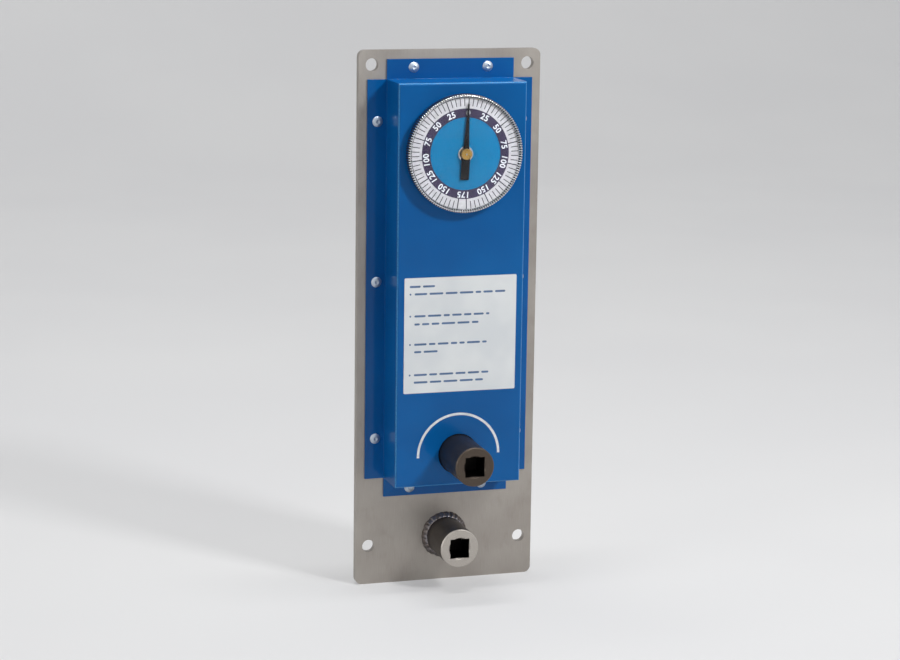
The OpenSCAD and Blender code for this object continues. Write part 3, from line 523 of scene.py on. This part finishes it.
def bezel_chrome():
    s = Surface("bezel_chrome", (230, 231, 234), 0.12, 1.0)
    haze = s.noise(1.2 * MM, detail=4, rough=0.6)
    smear = s.noise(8 * MM, detail=2)
    tone = s.vary(smear, 0.35, 0.65, (222, 224, 228), (238, 239, 241))
    s.colour(s.tint(tone, (176, 177, 182), haze, 0.6, 0.8, 0.3))
    s.rough(haze, 0.3, 0.7, 0.08, 0.18)
    s.bump(haze, 0.004 * MM, 0.4)
    return s.material


def crystal_clear():
    s = Surface("crystal_clear", (250, 252, 253), 0.03, IOR=1.25, Transmission_Weight=1.0)
    smear = s.noise(6 * MM, detail=3)
    scratch = s.noise(0.12 * MM, stretch=(14, 1, 1), detail=2)
    s.rough(smear, 0.35, 0.7, 0.015, 0.04)
    s.bump(scratch, 0.001 * MM, 0.2)
    let_light_through(s)
    return s.material


def let_light_through(s):
    """Lamps shine through the clear surface onto what is behind it."""
    nodes = s.tree.nodes
    path = nodes.new("ShaderNodeLightPath")
    clear = nodes.new("ShaderNodeBsdfTransparent")
    clear.inputs["Color"].default_value = (0.93, 0.94, 0.95, 1)
    mix_shaders(
        s.tree, path.outputs["Is Shadow Ray"], s.shader.outputs["BSDF"], clear.outputs["BSDF"],
        nodes["Material Output"].inputs["Surface"],
    )


def pointer_black():
    s = Surface("pointer_black", (16, 15, 18), 0.38, Specular_IOR_Level=0.15)
    film = s.noise(0.3 * MM, detail=3)
    cloud = s.noise(5 * MM, detail=2)
    s.colour(s.vary(cloud, 0.3, 0.7, (11, 10, 13), (20, 19, 23)))
    s.rough(film, 0.3, 0.7, 0.32, 0.46)
    s.bump(film, 0.005 * MM, 0.5)
    return s.material


WHITE_PRINT = print_ink("white_print", (233, 236, 238), 0.45)
DIAL_WHITE = print_ink("dial_white", (204, 201, 204), 0.45)
FRAME_STEEL = ground_metal("frame_steel", (150, 152, 156), 0.38)
PLATED = ground_metal("plated_steel", (184, 186, 188), 0.3, stretch=(6, 6, 1))
BRASS = ground_metal("movement_brass", (208, 170, 92), 0.3, stretch=(30, 1, 1), dark=0.86)

# The finish of each CAD node whose shape is right, and how far its edges are broken, in mm
EDGE_ANGLE = 35  # degrees
FINISHES = (
    (plate_steel(), 0.5, ("back_plate",)),
    (blue_paint(), 0.25, ("cover",)),
    (drive_oxide(), 0.2, ("drive_socket",)),
    (bare_socket(), 0.2, ("exercise_socket",)),
    (white_panel(), 0.05, ("instruction_panel",)),
    (turned_metal("eyelet_silver", (214, 216, 220), DIAL, 0.2), 0.12, ("dial_eyelet",)),
    (pointer_black(), 0.12, ("pointer",)),
    (turned_metal("hub_brass", (206, 164, 92), DIAL, 0.27), 0.3, ("pointer_hub",)),
    (housing_black(), 0.2, ("dial_housing",)),
    (FRAME_STEEL, 0.5, ("bearing_bridge",)),
    (FRAME_STEEL, 0.4, ("reaction_posts",)),
    (ground_metal("hub_steel", (122, 126, 132), 0.36, stretch=(1, 30, 1)), 0.4, ("beam_hub",)),
    (ground_metal("arm_aluminium", (198, 201, 205), 0.32), 0.2, ("indicator_arm",)),
    (ground_metal("blued_spring", (70, 88, 150), 0.25, stretch=(1, 10, 1)), 0, ("hairspring",)),
    (PLATED, 0.05, ("pointer_shaft",)),
    (PLATED, 0.15, (
        "bridge_screws", "post_screws", "standoff_screws", "movement_screws", "arm_screws",
        "sector_screws", "housing_screws", "calibration_screws", "thrust_washer", "lock_nuts",
        "hairspring_stud", "bezel_snap_ring", "beam_pins",
    )),
    # Painted shade: the front bushing's bronze is made dark, standing in for the shade in the gap
    # round the drive socket.
    (turned_metal("bronze_painted_dark_as_shade", (60, 46, 34), DRIVE, 0.5, 0.2 * MM), 0.2, ("front_bushing",)),
    (turned_metal("bronze", (168, 124, 76), DRIVE, 0.38, 0.2 * MM), 0.2, ("rear_bushing",)),
    (BRASS, 0.1, (
        "movement_base", "movement_bridge", "movement_standoffs", "movement_pillars", "sector",
        "pinion", "hairspring_collet", "front_pivot_bushing", "rear_pivot_bushing",
    )),
)
ROUNDER_EDGES = ("back_plate", "pointer_hub")


def dress(node, material, edge):
    """Gives a CAD node its material, and a bevel of width edge where edge isn't 0."""
    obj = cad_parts[node]
    obj.data.materials.clear()
    obj.data.materials.append(material)
    for polygon in obj.data.polygons:
        polygon.material_index = 0
        polygon.use_smooth = True
    if edge:
        bevel = obj.modifiers.new("edges", "BEVEL")
        bevel.width = edge
        bevel.segments = 3 if node in ROUNDER_EDGES else 2
        bevel.limit_method = "ANGLE"
        bevel.angle_limit = math.radians(EDGE_ANGLE)
        bevel.use_clamp_overlap = True
        bevel.harden_normals = True


for finish, edge_mm, nodes_dressed in FINISHES:
    for node_name in nodes_dressed:
        dress(node_name, finish, edge_mm * MM)


# Cover screws: smooth button heads with a key socket
SCREW_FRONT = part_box("cover_screws")[0].y
CAP_R = 3.4 * MM
CAP_H = 1.9 * MM
CAP_SIDE = 0.35 * MM  # height of the straight rim under the dome
CAP_CHAMFER = 0.1 * MM
CAP_STEPS = 48
DOME_SHARES = (0.0, 0.03, 0.15, 0.4, 0.65, 0.85, 0.97, 1.0)  # rings from the key's lip to the rim
KEY_CORNER_R = 1.39 * MM
KEY_LIP = 0.12 * MM  # width of the chamfer round the key socket
KEY_TOP = 0.22 * MM  # depth at which its walls start
KEY_DEEP = 0.45 * MM  # depth at which they end
KEY_CONE = 0.25 * MM  # how much deeper its middle is
KEY_CONE_SHARE = 0.55
SHANK_R = 1.75 * MM
SHANK_SHORT = 0.6 * MM  # from the shank's end to the back of the plate
SAME_SCREW = 2.2 * CAP_R  # how near each other the vertices of one screw are


def screw_places():
    """The middles of the heads of the cover screws, from the solids of their node."""
    groups = []
    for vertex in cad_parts["cover_screws"].data.vertices:
        spot = Vector((vertex.co.x, 0, vertex.co.z))
        for group in groups:
            if (group[0] - spot).length < SAME_SCREW:
                group.append(spot)
                break
        else:
            groups.append([spot])
    middles = []
    for group in groups:
        xs = [spot.x for spot in group]
        zs = [spot.z for spot in group]
        middles.append(Vector(((min(xs) + max(xs)) / 2, 0, (min(zs) + max(zs)) / 2)))
    return middles


def hexagon_r(angle, corner_r):
    """The radius of a hexagon at an angle, with its corners at corner_r."""
    within = (angle % (TAU / 6)) - TAU / 12
    return corner_r * math.cos(TAU / 12) / math.cos(within)


def screw_profile(key_r):
    """Radius and y of a screw's points, from the bottom of its key socket to the shank's end.

    key_r is the radius of the key socket's wall.
    """
    dome_rise = CAP_H - CAP_SIDE
    dome_r = (CAP_R**2 + dome_rise**2) / (2 * dome_rise)
    profile = [
        (key_r * KEY_CONE_SHARE, SCREW_FRONT + KEY_DEEP + KEY_CONE),
        (key_r, SCREW_FRONT + KEY_DEEP),
        (key_r, SCREW_FRONT + KEY_TOP),
    ]
    lip_r = key_r + KEY_LIP
    for share in DOME_SHARES:
        r = lip_r + (CAP_R - lip_r) * share
        profile.append((r, SCREW_FRONT + dome_r - math.sqrt(dome_r**2 - r**2)))
    under_y = SCREW_FRONT + CAP_H
    profile += [(CAP_R, under_y), (CAP_R - CAP_CHAMFER, under_y), (SHANK_R, under_y)]
    profile.append((SHANK_R, PLATE_HIGH.y - SHANK_SHORT))
    return profile


def cover_screw_heads():
    angles = [TAU * i / CAP_STEPS for i in range(CAP_STEPS)]
    rings = list(zip(*(screw_profile(hexagon_r(angle, KEY_CORNER_R)) for angle in angles)))
    screw_faces = grid_faces(len(rings), CAP_STEPS, rows_close=False)
    screw_faces += end_caps(len(rings), CAP_STEPS)
    verts, faces = [], []
    for at in screw_places():
        screw_verts = [
            polar(at, r, angle, y) for ring in rings for angle, (r, y) in zip(angles, ring)
        ]
        add_shape(verts, faces, screw_verts, screw_faces)
    obj = mesh_object("cover_screw_heads", verts, faces, [bright_screw()], 30)
    place(obj, "root", "bright_screw", "cover_screws")


cover_screw_heads()


# Weld bead: a fillet of overlapping ripples round the fixed socket
RIPPLES = 26
RIPPLE_STEPS = 8
WELD_ACROSS = 12  # strips between the plate and the socket
RIPPLE_SIZE = (0.78, 1.0)  # smallest and largest
RIPPLE_SHIFT = 0.25  # furthest along the bead, in ripples
RIPPLE_LEAN = 0.9  # how strongly a ripple curves at the plate and at the socket
RIPPLE_PEAK = 0.35  # where the crest is highest, as a share of a ripple
CREST_SHARE = 0.14  # of the bead's size
CREST_BULGE = 0.12
WELD_HOLLOW = 1.7  # above 1, the bead's section is hollow
WELD_IN_SOCKET = 0.3 * MM
WELD_IN_PLATE = 0.05 * MM
WELD_INNER_SHARE = 0.7  # of the leg and the rise, at the hidden corners


def ripple_crest(within):
    """The height of a ripple, from 0 to 1, at a share of its length."""
    if within <= RIPPLE_PEAK:
        return within / RIPPLE_PEAK
    return math.sqrt(max(0.0, 1 - ((within - RIPPLE_PEAK) / (1 - RIPPLE_PEAK)) ** 2))


def weld_bead():
    rng = random.Random(11)
    leg = round_r("exercise_weld") - SOCKET_R
    rise = PLATE_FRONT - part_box("exercise_weld")[0].y
    sizes = [rng.uniform(*RIPPLE_SIZE) for _ in range(RIPPLES)]
    shifts = [rng.uniform(-RIPPLE_SHIFT, RIPPLE_SHIFT) for _ in range(RIPPLES)]

    def seen_point(step, share):
        """How far out and how far up the bead reaches, at a share of the way to the socket."""
        position = (step / RIPPLE_STEPS + RIPPLE_LEAN * (share - 0.5) ** 2) % RIPPLES
        shift = shifts[int(position)] * math.sin(math.pi * (position % 1)) ** 2
        position = (position + shift) % RIPPLES
        index = int(position)
        within = position - index
        crest = ripple_crest(within)
        size = sizes[index] + (sizes[(index + 1) % RIPPLES] - sizes[index]) * within
        wide = size * (1 - CREST_SHARE + CREST_SHARE * crest)
        wide *= 1 + CREST_BULGE * math.sin(math.pi * share) * crest
        turn = share * math.pi / 2
        out = leg * min(1, wide * math.cos(turn) ** WELD_HOLLOW)
        up = rise * min(1, wide * math.sin(turn) ** WELD_HOLLOW)
        return SOCKET_R + out, PLATE_FRONT - up

    hidden = [
        (SOCKET_R - WELD_IN_SOCKET, PLATE_FRONT - rise * WELD_INNER_SHARE),
        (SOCKET_R - WELD_IN_SOCKET, PLATE_FRONT + WELD_IN_PLATE),
        (SOCKET_R + leg * WELD_INNER_SHARE, PLATE_FRONT + WELD_IN_PLATE),
    ]
    steps = RIPPLES * RIPPLE_STEPS
    verts = []
    for i in range(steps):
        seen = [seen_point(i, k / WELD_ACROSS) for k in range(WELD_ACROSS + 1)]
        verts += [polar(EXERCISE, r, TAU * i / steps, y) for r, y in seen + hidden]
    faces = grid_faces(steps, WELD_ACROSS + 1 + len(hidden))
    obj = mesh_object("weld_bead", verts, faces, [weld_steel()], 50)
    place(obj, "root", "weld_steel", "exercise_weld")


weld_bead()


# Bezel: a polished ring whose rim and rounded shoulder carry fine serrations
KNURLS = 148
KNURL_DEEP = 0.5 * MM
KNURL_SHARES = (0.0, 0.0, 0.2, 1.0, 1.0, 0.2)  # depth at the steps of one serration
GROOVE_CUT = 0.7  # a strip is painted dark as shade where the cuts of its two edges add up to more than this
GROOVE_SHARE = 0.15  # and where the serration is deeper than this
BEZEL_SHOULDER = 1.3 * MM
SHOULDER_CUT_TO = 70  # degrees round the shoulder, from the rim
BEZEL_SEAT = 0.8 * MM  # depth of the crystal's seat


def bezel_profile():
    """Points as radius, y, how deep a serration cuts there, and its lean to the front.

    A cut below 0 moves the point outward.
    """
    front, back = BEZEL_LOW.y, BEZEL_HIGH.y
    seat_y = front + BEZEL_SEAT
    seat_r = CRYSTAL_R + 0.05 * MM
    bore_r = FACE_R + 0.2 * MM
    wall_r = BEZEL_R - 0.05 * MM
    points = [
        (bore_r, back, 0.0, 0.0),
        (wall_r - 0.6 * MM, back, 0.0, 0.0),
        (wall_r - 0.1 * MM, back - 0.4 * MM, 0.6, 0.0),
        (wall_r, back - 0.7 * MM, 1.0, 0.0),
    ]
    for degrees in range(0, 91, 15):
        lean = math.radians(degrees)
        r = wall_r - BEZEL_SHOULDER + BEZEL_SHOULDER * math.cos(lean)
        y = front + BEZEL_SHOULDER - BEZEL_SHOULDER * math.sin(lean)
        points.append((r, y, 1.0 if degrees < SHOULDER_CUT_TO else 0.0, lean))
    return points + [
        (seat_r + 0.1 * MM, front, 0.0, 0.0),
        (seat_r, front + 0.1 * MM, 0.0, 0.0),
        (seat_r, seat_y, 0.0, 0.0),
        (seat_r - 0.12 * MM, seat_y, 0.0, 0.0),
        (seat_r - 0.3 * MM, seat_y + 0.12 * MM, -0.55, 0.0),
        (FACE_R + 0.08 * MM, FACE_FRONT - 0.25 * MM, -0.4, 0.0),
        (FACE_R + 0.05 * MM, FACE_FRONT, 0.0, 0.0),
        (FACE_R + 0.05 * MM, FACE_HIGH.y, 0.0, 0.0),
        (bore_r, FACE_HIGH.y, 0.0, 0.0),
    ]


def bezel_ring():
    profile = bezel_profile()
    count = len(profile)
    steps = KNURLS * len(KNURL_SHARES)
    verts = []
    for i in range(steps):
        step_deep = KNURL_DEEP * KNURL_SHARES[i % len(KNURL_SHARES)]
        for r, y, cut, lean in profile:
            deep = step_deep * cut
            r_cut = r - deep * math.cos(lean)
            verts.append(polar(DIAL, r_cut, TAU * i / steps, y + deep * math.sin(lean)))

    def in_groove(face):
        """Whether a face lies at the bottom of a serration, where shade is painted dark."""
        step, k = divmod(face, count)
        cut = abs(profile[k][2]) + abs(profile[(k + 1) % count][2])
        return cut > GROOVE_CUT and KNURL_SHARES[step % len(KNURL_SHARES)] > GROOVE_SHARE

    # Painted shade: the faces at the bottom of the serrations take a near-black matt material.
    materials = [bezel_chrome(), print_ink("painted_groove_shade", (24, 22, 26))]
    obj = mesh_object("bezel_ring", verts, grid_faces(steps, count), materials, 28, in_groove)
    place(obj, "bezel", "bezel_chrome", "bezel")


bezel_ring()


# Crystal: one smooth dome of even thickness with a polished edge
CRYSTAL_RISE = 2.3 * MM
CRYSTAL_T = 1.5 * MM
CRYSTAL_STEPS = 128
CRYSTAL_RINGS = 24
MIDDLE_R = 1e-5  # keeps the innermost ring open for its cap


def crystal_dome():
    edge_y = CRYSTAL_HIGH.y
    rim_y = CRYSTAL_LOW.y + CRYSTAL_RISE
    inner_edge_r = CRYSTAL_R - CRYSTAL_T / 2
    dome_r = (CRYSTAL_R**2 + CRYSTAL_RISE**2) / (2 * CRYSTAL_RISE)

    def dome(edge_r, top_y):
        points = []
        for k in range(CRYSTAL_RINGS + 1):
            r = edge_r * math.sin(k / CRYSTAL_RINGS * math.pi / 2)
            points.append((max(r, MIDDLE_R), top_y + dome_r - math.sqrt(dome_r**2 - r**2)))
        return points

    profile = dome(CRYSTAL_R, CRYSTAL_LOW.y)
    profile += [(CRYSTAL_R, (rim_y + edge_y) / 2), (CRYSTAL_R, edge_y), (inner_edge_r, edge_y)]
    profile += dome(inner_edge_r, CRYSTAL_LOW.y + CRYSTAL_T)[::-1]
    count = len(profile)
    angles = [TAU * i / CRYSTAL_STEPS for i in range(CRYSTAL_STEPS)]
    verts = [polar(DIAL, r, angle, y) for angle in angles for r, y in profile]
    faces = grid_faces(CRYSTAL_STEPS, count, count_closes=False)
    for k in (0, count - 1):
        faces.append(tuple(i * count + k for i in range(CRYSTAL_STEPS)))
    obj = mesh_object("crystal_dome", verts, faces, [crystal_clear()], 30)
    place(obj, "bezel", "crystal_clear", "crystal")


crystal_dome()


# Dial: a white disc with printed rings, ticks and numbers
DIAL_TURN = math.radians(3.2)  # of the scale, with the bezel
DISC_FRONT = FACE_FRONT + 0.1 * MM
EYELET_RIM = 1.1 * MM  # from the eyelet's edge to its bore
EYELET_TUBE = 0.5 * MM  # the wall of its tube, and the clearance round it
TEAL_R = 22.9 * MM
DARK_R = 28.5 * MM
TICK_OUT_R = FACE_R - 0.1 * MM
TICK_W = 0.5 * MM
MAJOR_HALF, MINOR_HALF = 0.62 * TICK_W, 0.5 * TICK_W
MINOR_START = 0.25  # where a minor tick starts, as a share of a major one
TICK_STEP = 5
MAJOR_STEP = 25
SCALE_END = 175
SCALE_END_ANGLE = 180  # the last number stands at the bottom
NUMBER_R = 25.75 * MM
NUMBER_H = 3.9 * MM
NUMBER_BOLD = 0.022  # share of the font's size that strokes grow by
NUMBER_SPACING = 1.08
NUMBER_MERGE_DIST = 1e-6


def dial_plate():
    hole_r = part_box("dial_eyelet")[1].x - DIAL.x - EYELET_RIM + EYELET_TUBE
    thick = FACE_HIGH.y - DISC_FRONT
    obj = ring_slab("dial_plate", DIAL, hole_r, FACE_R, DISC_FRONT, thick, DIAL_WHITE)
    place(obj, "bezel", "face_enamel", "dial_face")
    inks = (
        ("dial_disc", hole_r, TEAL_R, print_ink("teal_ink", (0, 110, 156), 0.42)),
        ("dial_dark_ring", TEAL_R, DARK_R, print_ink("dark_ink", (58, 48, 74), 0.42)),
    )
    for name, r_in, r_out, material in inks:
        obj = ring_slab(name, DIAL, r_in, r_out, DISC_FRONT - PRINT_T, PRINT_T, material)
        place(obj, "bezel", "face_enamel")


def dial_ticks():
    minor_r = DARK_R + MINOR_START * (TICK_OUT_R - DARK_R)
    tick_faces = end_caps(2, 4) + grid_faces(2, 4, rows_close=False)
    verts, faces = [], []
    for value in range(-SCALE_END, SCALE_END + 1, TICK_STEP):
        angle = math.radians(value) + DIAL_TURN
        r_in, half = (minor_r, MINOR_HALF) if value % MAJOR_STEP else (DARK_R, MAJOR_HALF)
        side = Vector((math.cos(angle), 0, -math.sin(angle))) * half
        corners = ((r_in, -1), (r_in, 1), (TICK_OUT_R, 1), (TICK_OUT_R, -1))
        tick_verts = [
            tuple(Vector(polar(DIAL, r, angle, y)) + side * sign)
            for y in (DISC_FRONT, DISC_FRONT - PRINT_T) for r, sign in corners
        ]
        add_shape(verts, faces, tick_verts, tick_faces)
    obj = mesh_object("dial_ticks", verts, faces, [print_ink("tick_ink", (30, 25, 42), 0.45)])
    place(obj, "bezel", "face_enamel")


def digits_mesh(words):
    """A flat mesh of plain digits in Blender's own font."""
    curve = bpy.data.curves.new("digits", "FONT")
    curve.body = words
    curve.align_x = "CENTER"
    curve.size = 1.0
    curve.offset = NUMBER_BOLD
    curve.resolution_u = 4
    curve.space_character = NUMBER_SPACING
    obj = bpy.data.objects.new("digits", curve)
    bpy.context.scene.collection.objects.link(obj)
    bpy.context.view_layer.update()
    evaluated = obj.evaluated_get(bpy.context.evaluated_depsgraph_get())
    mesh = bpy.data.meshes.new_from_object(evaluated)
    bpy.data.objects.remove(obj)
    return mesh


def number_shape(words):
    """Vertices and faces of raised digits, middled on the origin in the XZ plane."""
    mesh = digits_mesh(words)
    xs = [v.co.x for v in mesh.vertices]
    ys = [v.co.y for v in mesh.vertices]
    scale = NUMBER_H / (max(ys) - min(ys))
    middle_x = (max(xs) + min(xs)) / 2
    middle_y = (max(ys) + min(ys)) / 2
    bm = bmesh.new()
    bm.from_mesh(mesh)
    bpy.data.meshes.remove(mesh)
    for v in bm.verts:
        v.co = Vector(((v.co.x - middle_x) * scale, 0, (v.co.y - middle_y) * scale))
    bmesh.ops.remove_doubles(bm, verts=bm.verts, dist=NUMBER_MERGE_DIST)
    top = bmesh.ops.extrude_face_region(bm, geom=bm.faces[:])
    for item in top["geom"]:
        if isinstance(item, bmesh.types.BMVert):
            item.co.y -= PRINT_T
    bm.verts.index_update()
    verts = [v.co.copy() for v in bm.verts]
    faces = [tuple(v.index for v in face.verts) for face in bm.faces]
    bm.free()
    return verts, faces


def dial_numbers():
    values = [(0, 0)]
    for value in range(MAJOR_STEP, SCALE_END, MAJOR_STEP):
        values += [(value, value), (value, -value)]
    values.append((SCALE_END, SCALE_END_ANGLE))
    verts, faces = [], []
    for value, angle in values:
        turn = math.radians(angle) + DIAL_TURN
        number_verts, number_faces = number_shape(str(value))
        at = Vector(polar(DIAL, NUMBER_R, turn, DISC_FRONT - PRINT_T))
        rotation = Matrix.Rotation(turn, 3, "Y")
        add_shape(verts, faces, [tuple(rotation @ v + at) for v in number_verts], number_faces)
    obj = mesh_object("dial_numbers", verts, faces, [WHITE_PRINT])
    place(obj, "bezel", "face_enamel")


dial_plate()
dial_ticks()
dial_numbers()


# Printed marks on the cover and its panel
BAR_END_STEPS = 6
DASH_H = 1.3 * MM
DASH_LENGTHS = (3.5, 9.5)  # millimetres
DASH_GAP = 1.5 * MM
SHORTEST_DASH = 2 * MM
DOT = 1.2 * MM
MARKS_MARGIN = 0.045  # of the panel's width, and the indent after a dot too
MARKS_LINES = (  # how far down and how far across the panel a line goes, and if a dot starts it
    (0.075, 0.27, False), (0.14, 0.9, True), (0.33, 0.76, True), (0.4, 0.7, False),
    (0.575, 0.74, True), (0.64, 0.3, False), (0.84, 0.79, True), (0.905, 0.72, False),
)
ARC_DROP = 0.6 * MM  # from the drive socket's axis to the arc's centre
ARC_R_IN, ARC_R_OUT = 26.2 * MM, 27.8 * MM
ARC_START = math.radians(-91.5)
ARC_SWEEP = math.radians(181.5)
ARC_STEPS = 96


def flat_bars(name, bars, front, material):
    """Flat printed bars with round ends, each given as (x from, x to, z, height)."""
    verts, faces = [], []
    for x_from, x_to, z, height in bars:
        r = height / 2
        outline = []
        for x, start in ((x_to - r, -90), (x_from + r, 90)):
            for i in range(BAR_END_STEPS + 1):
                angle = math.radians(start + 180 * i / BAR_END_STEPS)
                outline.append((x + r * math.cos(angle), z + r * math.sin(angle)))
        bar_verts = [(x, y, z_at) for y in (front + PRINT_T, front) for x, z_at in outline]
        bar_faces = end_caps(2, len(outline)) + grid_faces(2, len(outline), rows_close=False)
        add_shape(verts, faces, bar_verts, bar_faces)
    return mesh_object(name, verts, faces, [material])


def panel_marks():
    """Plain ruled dashes: a short line above, then four dotted items of two lines or one."""
    rng = random.Random(5)
    width = PANEL_HIGH.x - PANEL_LOW.x
    height = PANEL_HIGH.z - PANEL_LOW.z
    left = PANEL_LOW.x + MARKS_MARGIN * width
    bars = []
    for number, (down, end, dotted) in enumerate(MARKS_LINES):
        z = PANEL_HIGH.z - down * height
        x = left if number == 0 else left + MARKS_MARGIN * width
        if dotted:
            bars.append((left, left + DOT, z, DOT))
        stop = PANEL_LOW.x + end * width
        while x < stop - SHORTEST_DASH:
            length = min(rng.uniform(*DASH_LENGTHS) * MM, stop - x)
            bars.append((x, x + length, z, DASH_H))
            x += length + DASH_GAP
    ink = print_ink("panel_ink", (92, 118, 156))
    obj = flat_bars("panel_marks", bars, PANEL_LOW.y - PRINT_T, ink)
    place(obj, "root", "white_panel")


def turning_arc():
    """The plain white arc on the cover round the drive socket."""
    at = Vector((DRIVE.x, 0, DRIVE.z - ARC_DROP))
    obj = ring_slab(
        "turning_arc", at, ARC_R_IN, ARC_R_OUT, COVER_FRONT - PRINT_T, PRINT_T, WHITE_PRINT,
        ARC_STEPS, ARC_START, ARC_SWEEP,
    )
    place(obj, "root", "blue_paint")


panel_marks()
turning_arc()


# Flex beam: a straight bar of many rows between the hub that turns it and the screws that hold its
# tip
BEAM_EDGE = 0.5 * MM
BEAM_ROWS = 41


def bending_beam():
    low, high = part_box("flex_beam")
    section = []
    for sx, sy in ((-1, -1), (1, -1), (1, 1), (-1, 1)):
        corner = ((high.x if sx > 0 else low.x), (high.y if sy > 0 else low.y))
        first = (corner[0] - sx * BEAM_EDGE, corner[1])
        second = (corner[0], corner[1] - sy * BEAM_EDGE)
        section += [first, second] if sx * sy < 0 else [second, first]
    verts = []
    for i in range(BEAM_ROWS):
        z = low.z + (high.z - low.z) * i / (BEAM_ROWS - 1)
        verts += [(x, y, z) for x, y in section]
    count = len(section)
    faces = end_caps(BEAM_ROWS, count) + grid_faces(BEAM_ROWS, count, rows_close=False)
    steel = ground_metal("beam_steel", (104, 110, 120), 0.3)
    obj = mesh_object("bending_beam", verts, faces, [steel], 30)
    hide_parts("flex_beam")
    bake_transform(obj)


bending_beam()


# Floor, backdrop, light and camera
STAGE_HALF_W = 7.0
STAGE_NEAR_Y, STAGE_FAR_Y = -6.0, 3.4
STAGE_RISE = 6.0
STAGE_CURVE = 1.6  # radius between the floor and the backdrop
CURVE_STEPS = 12
PALE = (0.8, 0.8, 0.81, 1)
PALE_SHARE = 0.4
SEEN_WORLD = (0.78, 0.79, 0.8, 1)
FILL_WORLD = (0.96, 0.98, 1.0, 1)
FILL_STRENGTH = 0.2
LAMPS = (  # name, place, what it points at, width and height, watts
    ("key", (0.8, -1.15, 1.0), (0, 0, 0), (0.25, 0.25), 15),
    ("left", (-1.5, -0.6, 0.3), (0, 0, 0), (0.15, 1.0), 2),
    ("top", (0.0, -0.1, 1.3), (0, 0, 0), (0.9, 0.12), 9),
    ("backdrop", (0.0, 0.9, 2.6), (0, 3.2, 0.4), (3.0, 0.6), 26),
)
CAMERA_AT = (-0.46518, -1.52222, 0.30186)
CAMERA_RIGHT = (0.956413, -0.291691, 0.01379)
CAMERA_UP = (0.044247, 0.191436, 0.980507)
CAMERA_FORWARD = (0.288646, 0.93716, -0.195998)
CAMERA_LENS = 99.78  # millimetres
CAMERA_SENSOR = 36  # width in millimetres


def lift_background(s):
    """Makes the stage paler where the camera, metal or glass shows it, and keeps its shadows."""
    nodes = s.tree.nodes
    pale = nodes.new("ShaderNodeEmission")
    pale.inputs["Color"].default_value = PALE
    pale.inputs["Strength"].default_value = 1.0
    share = s.combine("MULTIPLY", seen_directly(s.tree), PALE_SHARE)
    mix_shaders(
        s.tree, share, s.shader.outputs["BSDF"], pale.outputs["Emission"],
        nodes["Material Output"].inputs["Surface"],
    )


def stage():
    """A pale floor that curves up into a backdrop."""
    floor_z = PLATE_LOW.z
    curve_y, curve_z = STAGE_FAR_Y - STAGE_CURVE, floor_z + STAGE_CURVE
    profile = [(STAGE_NEAR_Y, floor_z), (curve_y, floor_z)]
    for i in range(1, CURVE_STEPS + 1):
        angle = math.radians(90 * i / CURVE_STEPS)
        y = curve_y + STAGE_CURVE * math.sin(angle)
        profile.append((y, curve_z - STAGE_CURVE * math.cos(angle)))
    profile.append((STAGE_FAR_Y, floor_z + STAGE_RISE))
    verts = [(x, y, z) for y, z in profile for x in (-STAGE_HALF_W, STAGE_HALF_W)]
    faces = grid_faces(len(profile), 2, rows_close=False, count_closes=False)
    s = Surface("stage_floor", (226, 226, 226), 0.8)
    cloud = s.noise(0.4, detail=2)
    s.colour(s.vary(cloud, 0.3, 0.7, (223, 223, 224), (229, 229, 229)))
    lift_background(s)
    obj = mesh_object("stage_floor", verts, faces, [s.material], 60)


def world_light():
    """A plain world that looks brighter than the light that it gives."""
    world = bpy.data.worlds.new("studio")
    bpy.context.scene.world = world
    world.use_nodes = True
    nodes = world.node_tree.nodes
    seen = nodes["Background"]
    seen.inputs["Color"].default_value = SEEN_WORLD
    seen.inputs["Strength"].default_value = 1.0
    fill = nodes.new("ShaderNodeBackground")
    fill.inputs["Color"].default_value = FILL_WORLD
    fill.inputs["Strength"].default_value = FILL_STRENGTH
    mix_shaders(
        world.node_tree, seen_directly(world.node_tree),
        fill.outputs["Background"], seen.outputs["Background"],
        nodes["World Output"].inputs["Surface"],
    )


def area_light(name, at, target, size, power):
    data = bpy.data.lights.new(name, "AREA")
    data.shape = "RECTANGLE"
    data.size, data.size_y = size
    data.energy = power
    obj = bpy.data.objects.new(name, data)
    obj.location = at
    obj.rotation_euler = (Vector(target) - Vector(at)).to_track_quat("-Z", "Y").to_euler()
    bpy.context.scene.collection.objects.link(obj)


def camera():
    data = bpy.data.cameras.new("camera")
    data.sensor_width = CAMERA_SENSOR
    data.lens = CAMERA_LENS
    obj = bpy.data.objects.new("camera", data)
    axes = Matrix((CAMERA_RIGHT, CAMERA_UP, -Vector(CAMERA_FORWARD)))
    obj.matrix_world = Matrix.Translation(CAMERA_AT) @ axes.transposed().to_4x4()
    bpy.context.scene.collection.objects.link(obj)
    bpy.context.scene.camera = obj


stage()
world_light()
for lamp in LAMPS:
    area_light(*lamp)
camera()
bpy.context.scene.view_settings.view_transform = "Standard"
